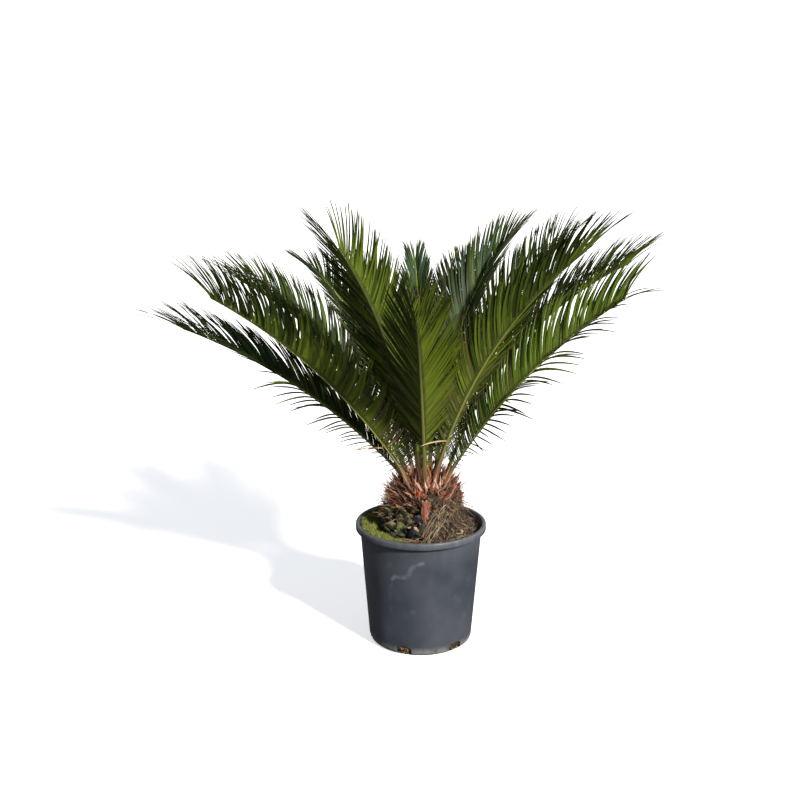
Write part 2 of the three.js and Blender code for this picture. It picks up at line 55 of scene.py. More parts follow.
UP = np.array([0.0, 0.0, 1.0])

# ---------------------------------------------------------------- driving dimensions, in metres

POT_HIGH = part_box("pot")[1]
POT_HEIGHT = POT_HIGH.z
POT_RIM_RADIUS = POT_HIGH.x
POT_TOP_RADIUS = 178 * MM
POT_FOOT_RADIUS = 152 * MM
POT_EDGE_ROUND = 15 * MM
POT_WALL = 3 * MM
LIP_HEIGHT = 20 * MM
LIP_ROUND = 5 * MM
LIP_FOOT = POT_HEIGHT - LIP_HEIGHT
UNDERSIDE_RINGS = (60 * MM, 110 * MM)
NOTCH_COUNT = 6
NOTCH_WIDTH = 46 * MM
NOTCH_HEIGHT = 30 * MM
NOTCH_FIRST_ANGLE = math.radians(-108)

SOIL_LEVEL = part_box("soil")[1].z
TRUNK_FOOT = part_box("trunk")[0].z
TRUNK_HEIGHT = 175 * MM
TRUNK_FOOT_X = 2 * MM
TRUNK_TOP_X = 15 * MM
TRUNK_PROFILE = np.array([  # radius, height above the foot
    [112, 0], [106, 16], [98, 50], [94, 95], [92, 118],
    [87, 134], [76, 146], [58, 157], [36, 169], [18, 174], [0, 175],
]) * MM

OUTER_FOOT = (58 * MM, 491 * MM)  # radius of the ring of feet, height
INNER_FOOT = (36 * MM, 503 * MM)
FOOT_SUNK = 26 * MM
BARE_SHARE = 0.13
ARCH_POWER = 1.15
KEEL_POWER = 2.2
RIB_WIDTH = (16.5 * MM, 8.6 * MM, 2.4 * MM)  # at the foot, at the first leaflet, at the tip
RIB_DEPTH = (15 * MM, 7.8 * MM, 2.2 * MM)

# In what follows a share is a share of the rib's length, and the sizes that a function multiplies
# by MM are in millimetres.
LEAFLETS_PER_SIDE = 140
LEAFLET_LENGTH = 182 * MM
LEAFLET_WIDTH = 6.3 * MM
NARROWING = ((0.1, 0.2, 0.36, 0.6, 0.85, 1), (0.64, 0.78, 1, 1, 0.78, 0.56))  # shares, parts of the width
SHORT_NARROWING = ([0, 60 * MM, 130 * MM], [0.45, 0.75, 1])  # lengths, parts of the width
LEAFLET_SHORTEST = 0.5
LEAFLET_LONGEST_AT = 0.42
LEAFLET_TIP_LOSS = 0.2
LEAFLET_ANGLES = (64, 37)  # degrees to the rib at the first and the last leaflet
TIP_FAN = (0.92, 16)  # share past which the last leaflets close on the rib, and by how many degrees
LEAFLET_BEND = (0.5, -0.3, -0.1)  # along the rib, out of the frond's upper face, upwards
SPINES_FROM = 0.055  # share where the short spiny leaflets start
SPINE_LENGTH = ((0.13, 0.18, 0.25), (0.6, 0.35, 0.15))  # by the bare share: part of the shortest leaflet
THIN_DROOP = 0.6
THIN_LENGTH = 0.85
THIN_STEP = 3  # a thin side keeps every third leaflet
# How a leaflet gets past another rib, in the order of the tries: degrees of lift, part of its length.
DETOURS = ((0, 1), (-8, 1), (8, 1), (-16, 1), (16, 1), (-24, 0.9), (24, 0.9), (0, 0.6), (0, 0.35))
RIB_GAP = 2.5 * MM
LAST_LEAFLET = 0.995
LOOSER_TO_TIP = 4.5  # how much more the leaflets differ from each other at the tip
LOOSE_POWER = 5
LOOSER_THIN = 3.0
CLUMP_WINDOW = np.array([0.3, 0.8, 1, 0.8, 0.3])  # how neighbours on a rib share what they differ by
TEAL_FROM = 0.7
LACY_FROM = 0.62
LACY_RUN = 0.25

# In degrees: azimuth, rise of the rib and keel of the leaflets at the foot and the tip, turn and roll of the
# rib, lean of the left and the right leaflets. Leaf, broad and lacy are factors: for the leaflets' length,
# their width, and their width at the tip. Tone is how bright the left and the right leaflets are, fade what
# it gains to the tip, low what it gains at the foot. Tone and low are partly painted light and shade: darker
# colours as painted shade on fronds and halves in shade, such as the front frond's right half, the left frond
# and the foot of frond_right_front, and lighter ones as painted light on lit ones, such as the front frond's
# left half, frond_right_front's left half and the foot of frond_front_left. Thin is a side, 1 for the left,
# and the share up to which it is thin. Aged and teal are how many leaflets have that colour, at the foot and
# at the tip.
Frond = namedtuple(
    "Frond",
    "name azimuth rise length keel leaf tone rib turn roll lean fade low thin bare foot broad aged teal lacy",
    defaults=(0, (0, 0), (0, 0), 0, 0, (0, 0), BARE_SHARE, OUTER_FOOT, 1, 0.1, 0.0, 1),
)
FRONDS = [
    Frond("frond_front", 266.5, (66, 38), 700, (36, 56), 1.08, (1.5, -1.2), "olive",
          lean=(-6, -6), bare=0.25, aged=0.15),
    Frond("frond_front_right", 318, (71, 39), 835, (34, 66), 1.02, (-1.2, -0.9), "olive",
          turn=11, roll=(-24, 0), lean=(2, -12), bare=0.18, foot=INNER_FOOT, broad=1.08, aged=0.35),
    Frond("frond_front_left", 239, (75, 44), 810, (40, 52), 1.02, (0.4, -0.8), "shaded",
          roll=(26, -4), lean=(2, 2), fade=-0.4, low=2.0, bare=0.18, foot=INNER_FOOT, aged=0.35),
    Frond("frond_left_front", 207, (58, 31), 795, (52, 64), 1.08, (0.2, -0.6), "green",
          turn=-12, roll=(2, 0), lean=(16, 14), fade=-2.1, broad=1.15, aged=0.7, lacy=0.8),
    Frond("frond_left", 183, (48, 21), 775, (20, 66), 0.98, (-1.6, -1.6), "olive",
          roll=(-20, 10), lean=(0, -8), low=-1.0, thin=(1, 0.6), broad=1.15, lacy=0.6),
    Frond("frond_right_front", 342, (60, 35), 745, (20, 55), 0.98, (2.3, 0.4), "green",
          turn=4, roll=(48, -20), lean=(6, -2), fade=-0.5, low=-2.6, thin=(-1, 1), bare=0.16, broad=1.3),
    Frond("frond_back_right", 58, (87, 26), 805, (44, 58), 1.08, (-1.5, -1.5), "green",
          turn=-4, lean=(-14, -10), teal=0.12),
    Frond("frond_right", 11, (72, 24), 830, (38, 56), 1.0, (-1.3, -0.8), "tan", turn=-5),
    Frond("frond_back", 93.5, (62, 25), 815, (42, 60), 0.84, (0.2, 0.2), "green", lean=(-14, -14), teal=0.75),
    Frond("frond_left_back", 157, (65, 21), 790, (42, 60), 1.0, (-0.8, -0.8), "olive"),
    Frond("frond_back_left", 130, (70, 22), 770, (30, 50), 0.9, (-1.9, -1.9), "green", lean=(-10, -8)),
    Frond("frond_right_back", 33, (72, 35), 795, (38, 56), 1.0, (-1.4, -1.4), "olive",
          turn=2, foot=INNER_FOOT),
    Frond("frond_back_inner_right", 75, (76, 12), 790, (38, 60), 0.9, (-0.6, -0.6), "green", foot=INNER_FOOT),
    Frond("frond_back_inner_left", 115, (74, 10), 790, (38, 60), 0.9, (-0.6, -0.6), "olive", foot=INNER_FOOT),
]

# ---------------------------------------------------------------- material helpers


def new_material(name, colour, roughness, specular=0.5):
    """A material and its nodes: one Principled shader with its own numbers set on its sockets."""
    material = bpy.data.materials.new(name)
    material.use_nodes = True
    shader = material.node_tree.nodes["Principled BSDF"]
    shader.inputs["Base Color"].default_value = (*colour, 1)
    shader.inputs["Roughness"].default_value = roughness
    shader.inputs["Specular IOR Level"].default_value = specular
    material.diffuse_color = (*colour, 1)
    return material, material.node_tree, shader


def noise_node(tree, scale, detail=4.0, stretch=(1, 1, 1)):
    """A noise texture in the row frame, finer along an axis by its stretch."""
    place = tree.nodes.new("ShaderNodeTexCoord")
    mapping = tree.nodes.new("ShaderNodeMapping")
    mapping.inputs["Scale"].default_value = stretch
    texture = tree.nodes.new("ShaderNodeTexNoise")
    texture.inputs["Scale"].default_value = scale
    texture.inputs["Detail"].default_value = detail
    tree.links.new(place.outputs["Object"], mapping.inputs["Vector"])
    tree.links.new(mapping.outputs["Vector"], texture.inputs["Vector"])
    return texture.outputs["Fac"]


def math_node(tree, operation, *values):
    """A math node; each value is a number or another node's output."""
    node = tree.nodes.new("ShaderNodeMath")
    node.operation = operation
    for socket, value in zip(node.inputs, values):
        if isinstance(value, (int, float)):
            socket.default_value = value
        else:
            tree.links.new(value, socket)
    return node.outputs["Value"]


def range_node(tree, value, start, end, first=0.0, last=1.0):
    """Runs from first to last while the value runs from start to end, and is held outside."""
    node = tree.nodes.new("ShaderNodeMapRange")
    for name, number in (("From Min", start), ("From Max", end), ("To Min", first), ("To Max", last)):
        node.inputs[name].default_value = number
    tree.links.new(value, node.inputs["Value"])
    return node.outputs["Result"]


def blend_node(tree, factor, under, over):
    """A plain colour laid over another node's colour."""
    node = tree.nodes.new("ShaderNodeMix")
    node.data_type = "RGBA"
    tree.links.new(factor, node.inputs["Factor"])
    tree.links.new(under, node.inputs["A"])
    node.inputs["B"].default_value = (*over, 1)
    return node.outputs["Result"]


def ramp_node(tree, factor, *stops):
    """A colour ramp: each stop is a place and a colour."""
    ramp = tree.nodes.new("ShaderNodeValToRGB")
    elements = ramp.color_ramp.elements
    while len(elements) < len(stops):
        elements.new(1.0)
    for element, (place, colour) in zip(elements, stops):
        element.position = place
        element.color = (*colour, 1)
    tree.links.new(factor, ramp.inputs["Fac"])
    return ramp.outputs["Color"]


def bump_node(tree, shader, height, distance, strength=1.0):
    bump = tree.nodes.new("ShaderNodeBump")
    bump.inputs["Strength"].default_value = strength
    bump.inputs["Distance"].default_value = distance
    tree.links.new(height, bump.inputs["Height"])
    tree.links.new(bump.outputs["Normal"], shader.inputs["Normal"])


def plain_materials(prefix, shades, roughness, grain, depth, specular=0.3):
    """A material for each name and colour: plain, with a fine grain in its relief."""
    materials = []
    for name, colour in shades.items():
        material, tree, shader = new_material(prefix + name, colour, roughness, specular)
        bump_node(tree, shader, noise_node(tree, grain), depth)
        materials.append(material)
    return materials


def mottled_material(name, dark, middle, light, roughness, scale, depth, stretch=(1, 1, 1)):
    """Three colours that run into each other in patches, with the same patches in relief."""
    material, tree, shader = new_material(name, middle, roughness)
    patches = noise_node(tree, scale, 8.0, stretch)
    colour = ramp_node(tree, patches, (0.32, dark), (0.5, middle), (0.68, light))
    tree.links.new(colour, shader.inputs["Base Color"])
    bump_node(tree, shader, patches, depth)
    return material


# ---------------------------------------------------------------- geometry helpers


def unit(vectors):
    return vectors / np.maximum(np.linalg.norm(vectors, axis=-1, keepdims=True), 1e-12)


def mix(a, b, share):
    return a + (b - a) * share


def directions(angle):
    """Level directions at an angle about the Z axis: out from it, and round it."""
    return np.array([math.cos(angle), math.sin(angle), 0]), np.array([-math.sin(angle), math.cos(angle), 0])


def facing(angle, centre, spread):
    """1 where an angle faces a centre, falling to 0 past the spread; the last two are in degrees."""
    away = abs((math.degrees(angle) - centre + 180) % 360 - 180)
    return max(0.0, 1 - away / spread)


def pick(rng, weights):
    """A number drawn by these weights."""
    return rng.choice(len(weights), p=weights / weights.sum())


def bent_path(root, heading, bend, length, t, amount=0.5):
    """Sets out from the root along the heading, and is bent the more the further it goes."""
    return root + np.outer(t * length, heading) + np.outer(t * t * length * amount, bend)


def sweep(path, across, half_width, half_depth, section, twist=0.0):
    """Rings of a section swept along paths (..., n, 3): x of the section lies across, y out of the face."""
    heading = unit(np.gradient(path, axis=-2))
    across = np.broadcast_to(across, path.shape)
    across = unit(across - np.sum(across * heading, -1, keepdims=True) * heading)
    face = np.cross(heading, across)
    turn = np.asarray(twist)[..., None]
    across, face = across * np.cos(turn) + face * np.sin(turn), face * np.cos(turn) - across * np.sin(turn)
    wide = (across * np.asarray(half_width)[..., None])[..., None, :] * section[:, 0, None]
    deep = (face * np.asarray(half_depth)[..., None])[..., None, :] * section[:, 1, None]
    return path[..., None, :] + wide + deep


def loft_faces(rings, sides, pointed=False):
    """Faces of a closed loft: the quads ring by ring, then the far end, then the near end."""
    faces = []
    for ring in range(rings - 1):
        for side in range(sides):
            after = (side + 1) % sides
            near, far = ring * sides, (ring + 1) * sides
            faces.append([near + side, near + after, far + after, far + side])
    last = (rings - 1) * sides
    if pointed:
        faces += [[last + side, last + (side + 1) % sides, last + sides] for side in range(sides)]
    else:
        faces.append([last + side for side in range(sides)])
    faces.append(list(reversed(range(sides))))
    return faces


class Pile:
    """Closed forms that are joined into one piece. A shade is the number of a material in its list."""

    def __init__(self):
        self.points = []
        self.faces = []
        self.shades = []
        self.count = 0

    def add(self, points, faces, shades):
        self.points.append(points)
        self.faces += [[corner + self.count for corner in face] for face in faces]
        self.shades += list(np.broadcast_to(shades, len(faces)))
        self.count += len(points)

    def loft(self, rings, shades, pointed=False):
        """Adds rings (n, sides, 3); a pointed loft ends in the middle of its last ring."""
        count, sides = rings.shape[:2]
        points = rings.reshape(-1, 3)
        if pointed:
            points = np.vstack([points[:-sides], rings[-1].mean(0)])
            count -= 1
        self.add(points, loft_faces(count, sides, pointed), shades)

    def link(self, name):
        """A new object in the scene, with all the forms as its mesh."""
        mesh = bpy.data.meshes.new(name)
        mesh.from_pydata(np.concatenate(self.points).tolist(), [], self.faces)
        item = bpy.data.objects.new(name, mesh)
        bpy.context.scene.collection.objects.link(item)
        return item

    def piece(self, name, materials, slot, replaced=None, crease=40):
        piece = self.link(name)
        for material in materials:
            piece.data.materials.append(material)
        piece.data.polygons.foreach_set("material_index", np.array(self.shades, dtype=np.int32))
        piece.data.shade_smooth()
        piece.data.set_sharp_from_angle(angle=math.radians(crease))
        piece.data.validate()
        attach(piece, "root")
        if replaced:
            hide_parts(replaced)
        return piece


def round_section(sides):
    angles = np.arange(sides) * 2 * math.pi / sides
    return np.stack([np.cos(angles), np.sin(angles)], axis=1)


def spin(profile, segments):
    """Rings of a body turned about the Z axis, from profile points (radius, height)."""
    angles = np.arange(segments) * 2 * math.pi / segments
    rings = np.empty((len(profile), segments, 3))
    rings[:, :, 0] = np.outer(profile[:, 0], np.cos(angles))
    rings[:, :, 1] = np.outer(profile[:, 0], np.sin(angles))
    rings[:, :, 2] = profile[:, 1, None]
    return rings


def arc(centre_x, centre_y, radius, start, end, steps):
    angles = np.radians(np.linspace(start, end, steps + 1))
    return [(centre_x + radius * math.cos(a), centre_y + radius * math.sin(a)) for a in angles]


def rough(points, scale, amount, seed=0.0):
    """Moves points by a smooth noise of this scale and amount."""
    shift = Vector((seed, seed * 0.7, -seed))
    moved = [noise.noise_vector(Vector(p) * scale + shift) for p in points.reshape(-1, 3)]
    return points + np.array(moved).reshape(points.shape) * amount


# ---------------------------------------------------------------- pot


def pot_radius(height):
    return mix(POT_FOOT_RADIUS, POT_TOP_RADIUS, (height - POT_EDGE_ROUND) / (LIP_FOOT - POT_EDGE_ROUND))


def pot_profile():
    """The pot's wall from the middle of its underside, up the outside, over the lip and down inside."""
    wall = [(pot_radius(h), h) for h in np.linspace(POT_EDGE_ROUND, LIP_FOOT, 26)[1:]]
    inside = [(pot_radius(h) - POT_WALL, h) for h in np.linspace(LIP_FOOT - 6 * MM, POT_EDGE_ROUND, 22)]
    corner = POT_FOOT_RADIUS - POT_EDGE_ROUND
    return np.array([
        *[(radius, 0) for radius in UNDERSIDE_RINGS],
        *arc(corner, POT_EDGE_ROUND, POT_EDGE_ROUND, -90, 0, 8),
        *wall,
        (POT_TOP_RADIUS + 2 * MM, LIP_FOOT - 1.5 * MM),
        (POT_RIM_RADIUS - 3 * MM, LIP_FOOT - 0.5 * MM),
        *arc(POT_RIM_RADIUS - 2 * MM, LIP_FOOT + 2.5 * MM, 2 * MM, -60, 0, 3),
        *arc(POT_RIM_RADIUS - LIP_ROUND, POT_HEIGHT - LIP_ROUND, LIP_ROUND, 10, 90, 6),
        *arc(POT_TOP_RADIUS + 5 * MM, POT_HEIGHT - 3 * MM, 3 * MM, 90, 180, 4),
        *inside,
        *arc(corner, POT_EDGE_ROUND, POT_EDGE_ROUND - POT_WALL, 0, -90, 5),
        *[(radius, POT_WALL) for radius in reversed(UNDERSIDE_RINGS)],
    ])


SCUFFS = [  # a worn line on the front: place round the pot and height in mm, how pale it is up to the next
    (-91, 128, 0.15), (-90, 203, 0.4), (-83.5, 236, 0.85), (-74, 248, 0.7), (-42, 251, 0.5),
    (-31, 262, 0.65), (-24, 280, 0.85), (-11, 291, 0.75), (5, 296, 0.2),
]
SCUFF_WIDTH = 9.5 * MM
POT_DEEP, POT_LIGHT = (0.036, 0.044, 0.06), (0.06, 0.068, 0.082)
POT_WORN, POT_PALE = (0.2, 0.215, 0.235), (0.25, 0.25, 0.24)


def scuff_mask(tree, across, height, start, end):
    """How worn the pot is near one straight piece of a scuff."""
    along = (end[0] - start[0]) * MM, (end[1] - start[1]) * MM
    whole = along[0] ** 2 + along[1] ** 2
    x = math_node(tree, "SUBTRACT", across, start[0] * MM)
    y = math_node(tree, "SUBTRACT", height, start[1] * MM)
    ahead = math_node(tree, "MULTIPLY", x, along[0] / whole)
    ahead = math_node(tree, "MULTIPLY_ADD", y, along[1] / whole, ahead)
    ahead = range_node(tree, ahead, 0.0, 1.0)
    x = math_node(tree, "MULTIPLY_ADD", ahead, -along[0], x)
    y = math_node(tree, "MULTIPLY_ADD", ahead, -along[1], y)
    squares = math_node(tree, "MULTIPLY_ADD", x, x, math_node(tree, "MULTIPLY", y, y))
    return range_node(tree, math_node(tree, "SQRT", squares), 0.0, SCUFF_WIDTH, start[2], 0.0)


def pot_wear(tree, across, height, scratches, patches):
    """How worn the pot is: a faint haze, scratches, the worn line, and drips under the lip at the right."""
    haze = range_node(tree, noise_node(tree, 9.0, 3.0), 0.45, 0.75, 0.0, 0.1)
    worn = math_node(tree, "MAXIMUM", haze, range_node(tree, scratches, 0.6, 0.85, 0.0, 0.2))
    scuff = scuff_mask(tree, across, height, *SCUFFS[:2])
    for start, end in zip(SCUFFS[1:], SCUFFS[2:]):
        scuff = math_node(tree, "MAXIMUM", scuff, scuff_mask(tree, across, height, start, end))
    scuff = math_node(tree, "MULTIPLY", scuff, range_node(tree, patches, 0.36, 0.58, 0.1, 0.85))
    streaks = range_node(tree, noise_node(tree, 60.0, 5.0, (1, 1, 0.1)), 0.5, 0.7, 0.0, 0.45)
    right = range_node(tree, across, -10 * MM, 20 * MM)
    under_lip = math_node(tree, "MULTIPLY", range_node(tree, height, 0.27, 0.335), right)
    drips = math_node(tree, "MULTIPLY", math_node(tree, "MAXIMUM", streaks, 0.14), under_lip)
    return math_node(tree, "MAXIMUM", math_node(tree, "MAXIMUM", scuff, worn), drips)


def pot_material():
    """Dark blue-grey plastic, worn here and there, dusty along the bottom edge and paler towards the lip's
    top.
    """
    material, tree, shader = new_material("pot_plastic", (0.05, 0.058, 0.072), 0.5, 0.4)
    place = tree.nodes.new("ShaderNodeTexCoord")
    split = tree.nodes.new("ShaderNodeSeparateXYZ")
    tree.links.new(place.outputs["Object"], split.inputs["Vector"])
    height = split.outputs["Z"]
    front = math_node(tree, "MULTIPLY", split.outputs["Y"], -1.0)
    turn = math_node(tree, "ARCTAN2", split.outputs["X"], front)
    across = math_node(tree, "MULTIPLY", turn, (POT_TOP_RADIUS + POT_FOOT_RADIUS) / 2)
    base = ramp_node(tree, noise_node(tree, 7.0, 7.0), (0.32, POT_DEEP), (0.68, POT_LIGHT))
    scratches = noise_node(tree, 26.0, 10.0)
    patches = noise_node(tree, 45.0, 8.0)
    marked = blend_node(tree, pot_wear(tree, across, height, scratches, patches), base, POT_WORN)
    # Paler in patches along the bottom edge, with dust, and towards the top of the lip.
    low = range_node(tree, height, 0.004, 0.03, 1.0, 0.0)
    lip = range_node(tree, height, 0.342, 0.356, 0.0, 0.22)
    dust_and_pale_lip = math_node(tree, "MULTIPLY", math_node(tree, "ADD", low, lip), range_node(tree, patches, 0.3, 0.55))
    tree.links.new(blend_node(tree, dust_and_pale_lip, marked, POT_PALE), shader.inputs["Base Color"])
    tree.links.new(range_node(tree, scratches, 0.4, 0.65, 0.4, 0.58), shader.inputs["Roughness"])
    bump_node(tree, shader, noise_node(tree, 90.0, 6.0, (1, 1, 0.4)), 0.25 * MM, 0.6)
    return material


def notch_angle(i):
    return NOTCH_FIRST_ANGLE + i * 2 * math.pi / NOTCH_COUNT


def notch_cutter():
    """Arches that are pushed through the pot's bottom edge, as one mesh."""
    pile = Pile()
    spring = 0.55 * NOTCH_HEIGHT
    arch = [(0.5 * NOTCH_WIDTH * math.cos(a), spring + (NOTCH_HEIGHT - spring) * math.sin(a))
            for a in np.linspace(0, math.pi, 13)]
    outline = np.array([*arch, (-0.5 * NOTCH_WIDTH, -1 * MM), (0.5 * NOTCH_WIDTH, -1 * MM)])
    for i in range(NOTCH_COUNT):
        out, side = directions(notch_angle(i))
        rings = [out * reach + outline[:, :1] * side + outline[:, 1:] * UP
                 for reach in (POT_FOOT_RADIUS - 11 * MM, POT_FOOT_RADIUS + 12 * MM)]
        pile.loft(np.array(rings), 0)
    return pile.link("notch_cutter")


def make_pot():
    """The shell, slightly out of round, with the notches cut through its bottom edge."""
    pile = Pile()
    rings = spin(pot_profile(), 160)
    wobble = 1 + 0.0022 * np.sin(3 * np.arctan2(rings[..., 1], rings[..., 0]) + 0.6)
    rings[..., :2] *= wobble[..., None]
    sides = rings.shape[1]
    faces = loft_faces(len(rings), sides)[:-2]
    bottom = len(rings) * sides
    last = bottom - sides
    faces += [[(s + 1) % sides, s, bottom] for s in range(sides)]
    faces += [[last + s, last + (s + 1) % sides, bottom + 1] for s in range(sides)]
    points = np.vstack([rings.reshape(-1, 3), [[0, 0, 0], [0, 0, POT_WALL]]])
    pile.add(points, faces, 0)
    pot = pile.piece("pot_shell", [pot_material()], "pot", "pot", crease=30)
    cutter = notch_cutter()
    cut = pot.modifiers.new("notches", "BOOLEAN")
    cut.operation = "DIFFERENCE"
    cut.object = cutter
    cut.solver = "EXACT"
    graph = bpy.context.evaluated_depsgraph_get()
    pot.data = bpy.data.meshes.new_from_object(pot.evaluated_get(graph))
    pot.modifiers.clear()
    pot.data.set_sharp_from_angle(angle=math.radians(30))
    bpy.data.objects.remove(cutter)


# ---------------------------------------------------------------- soil and chips


def on_soil(radius, angle, height=0.0):
    return np.array([radius * math.cos(angle), radius * math.sin(angle), SOIL_LEVEL + height])


def make_soil():
    """The potting mix as one closed body: a crumbly top, and the side and bottom that the notches show."""
    inner = pot_radius(SOIL_LEVEL) - POT_WALL - 1 * MM
    edge = [(inner * r, SOIL_LEVEL - 7 * MM * max(r - 0.9, 0) / 0.1) for r in np.linspace(1, 0.02, 60)]
    side_heights = np.linspace(POT_EDGE_ROUND, SOIL_LEVEL - 12 * MM, 16)
    side = [(pot_radius(h) - POT_WALL - 1 * MM, h) for h in side_heights]
    low = (POT_FOOT_RADIUS - POT_EDGE_ROUND, POT_WALL + 0.6 * MM)
    rings = spin(np.array([low, *side, *edge]), 200)
    top = len(side) + 2
    rings[top:] = rough(rings[top:], 60, 5 * MM)
    rings[top:] = rough(rings[top:], 220, 3 * MM, 3.0)
    rings[1:top - 2] = rough(rings[1:top - 2], 120, 1.2 * MM, 5.0)
    pile = Pile()
    pile.loft(rings, 0)
    potting_mix = mottled_material("potting_mix", (0.012, 0.008, 0.005), (0.045, 0.028, 0.016),
                                   (0.13, 0.085, 0.05), 0.95, 70, 3 * MM)
    pile.piece("potting_mix", [potting_mix], "soil", "soil", crease=70)


CHIP_SHADES = {
    "dark": (0.03, 0.018, 0.01), "brown": (0.1, 0.055, 0.028), "tan": (0.24, 0.15, 0.08),
    "cream": (0.5, 0.38, 0.24), "green": (0.02, 0.035, 0.02), "yellow": (0.3, 0.24, 0.04),
    "orange": (0.36, 0.14, 0.035),
}
CREAM_CHIP = 3
CHIP_COUNT = 900
CHIP_REACH = 168 * MM
BITS_PER_NOTCH = 34
PALE_LUMP = np.array([117 * MM, -66 * MM, SOIL_LEVEL + 19 * MM])


def add_notch_bits(pile, rng):
    """Roots and crumbs on the mix where the notches show it."""
    section = round_section(5)
    for i in range(NOTCH_COUNT * BITS_PER_NOTCH):
        out, around = directions(notch_angle(i % NOTCH_COUNT) + rng.uniform(-0.1, 0.1))
        height = rng.uniform(4, 24) * MM
        corner = POT_FOOT_RADIUS - POT_EDGE_ROUND
        reach = corner + math.sqrt(max(POT_EDGE_ROUND ** 2 - max(POT_EDGE_ROUND - height, 0) ** 2, 0))
        middle = out * (reach - POT_WALL - rng.uniform(-0.5, 2.5) * MM) + UP * height
        size = rng.uniform(1.2, 4) * MM
        heading = unit(around * rng.normal() + UP * rng.normal())
        path = middle + np.outer([-1, -0.3, 0.4, 1], heading) * size
        path = path + np.outer([0, 1, 1, 0], out) * size * 0.2
        half = np.array([0.3, 0.6, 0.5, 0.2]) * size
        shade = rng.choice([0, 1, 2, 4, 5, 6], p=[0.2, 0.18, 0.1, 0.26, 0.14, 0.12])
        pile.loft(sweep(path, out, half, half * 0.7, section), shade)


def make_chips(rng):
    """Crumbs and bark chips on the mix, flattened and turned every way."""
    pile = Pile()
    section = round_section(6)
    for _ in range(CHIP_COUNT):
        angle = rng.uniform(0, 2 * math.pi)
        radius = CHIP_REACH * math.sqrt(rng.uniform(0.32, 1))
        size = rng.uniform(2, 6.5) * MM
        length = size * rng.uniform(0.8, 1.9)
        heading = unit(rng.normal(size=3) * [1, 1, 0.35])
        fallen = 5 * MM * max(radius / CHIP_REACH - 0.93, 0) / 0.07
        middle = on_soil(radius, angle, rng.uniform(-2, 3) * MM - fallen)
        path = middle + np.outer(np.array([-1, -0.5, 0.4, 1]) * length / 2, heading)
        rings = sweep(path, unit(rng.normal(size=3)), np.array([0.3, 0.5, 0.45, 0.2]) * size,
                      np.array([0.2, 0.32, 0.3, 0.12]) * size, section)
        pile.loft(rough(rings, 300, 1.5 * MM), rng.choice(4, p=[0.46, 0.36, 0.16, 0.02]))
    path = PALE_LUMP + np.outer([-1, -0.6, 0.5, 1], [5 * MM, -3 * MM, 2 * MM])
    half = np.array([0.4, 1, 1, 0.35]) * 6 * MM
    pile.loft(rough(sweep(path, UP, half, half * 0.9, section), 200, 2 * MM), CREAM_CHIP)
    add_notch_bits(pile, rng)
    materials = plain_materials("chip_", CHIP_SHADES, 0.9, 500, 0.4 * MM, 0.5)
    pile.piece("soil_chips", materials, "soil", crease=50)


# ---------------------------------------------------------------- fronds


def heading_of(frond, share):
    """Direction of the rib at shares of its length."""
    rise = np.radians(mix(*frond.rise, share ** ARCH_POWER))
    azimuth = np.radians(frond.azimuth + frond.turn * share)
    return np.stack([np.cos(rise) * np.cos(azimuth), np.cos(rise) * np.sin(azimuth), np.sin(rise)], axis=-1)


Stations = namedtuple("Stations", "point along side upper")


def stations(frond, shares):
    """Places and axes of the rib: along it, to its left side and out of its upper face."""
    steps = 240
    fine = np.linspace(0, 1, steps + 1)
    length = frond.length * MM
    moves = heading_of(frond, (fine[1:] + fine[:-1]) / 2) * length / steps
    foot = math.radians(frond.azimuth)
    start = [TRUNK_TOP_X + frond.foot[0] * math.cos(foot), frond.foot[0] * math.sin(foot), frond.foot[1]]
    track = np.vstack([np.zeros(3), np.cumsum(moves, axis=0)]) + start
    inside = np.clip(shares, 0, 1)
    along = heading_of(frond, inside)
    point = np.stack([np.interp(inside, fine, track[:, axis]) for axis in range(3)], axis=-1)
    point = point + along * (np.minimum(shares, 0) * length)[:, None]
    azimuth = np.radians(frond.azimuth + frond.turn * inside)
    level = np.stack([-np.sin(azimuth), np.cos(azimuth), np.zeros_like(azimuth)], axis=-1)
    roll = np.radians(frond.roll[0] + frond.roll[1] * inside)[:, None]
    side = level * np.cos(roll) + np.cross(along, level) * np.sin(roll)
    return Stations(point, along, side, np.cross(along, side))


def rib_size(sizes, share):
    return np.interp(share, [0, BARE_SHARE, 1], sizes)


def leafy_share(frond, share):
    """Share of the rib's leafy part, which starts where the bare part ends."""
    return np.clip((share - frond.bare) / (1 - frond.bare), 0, 1)


def leaflet_length(frond, share):
    """Spines on the bare part, then short leaflets, the longest along the middle, shorter at the tip."""
    v = leafy_share(frond, share)
    risen = np.sin(math.pi / 2 * np.minimum(v / LEAFLET_LONGEST_AT, 1))
    falling = 1 - LEAFLET_TIP_LOSS * np.maximum(2 * v - 1, 0) ** 1.5
    spine = np.interp(frond.bare, *SPINE_LENGTH)
    spiny = np.interp(share, [SPINES_FROM, 0.75 * frond.bare, frond.bare], [spine, 1.4 * spine, 1])
    return LEAFLET_LENGTH * frond.leaf * mix(LEAFLET_SHORTEST, 1, risen) * falling * spiny


LEAFLET_STEPS = np.array([0, 0.06, 0.2, 0.36, 0.52, 0.68, 0.82, 0.92, 0.975, 1])
LEAFLET_OUTLINE = np.array([0.92, 1, 1, 0.99, 0.92, 0.77, 0.56, 0.34, 0.16, 0.05])
# Right edge, over the arched upper face to the left edge, and back under the midrib.
LEAFLET_SECTION = np.array([
    (1.0, -0.44), (0.76, -0.1), (0.0, -0.04), (-0.76, -0.1), (-1.0, -0.44),
    (-0.7, -0.32), (0.0, -0.46), (0.7, -0.32),
])
UPPER_SIDES = 4

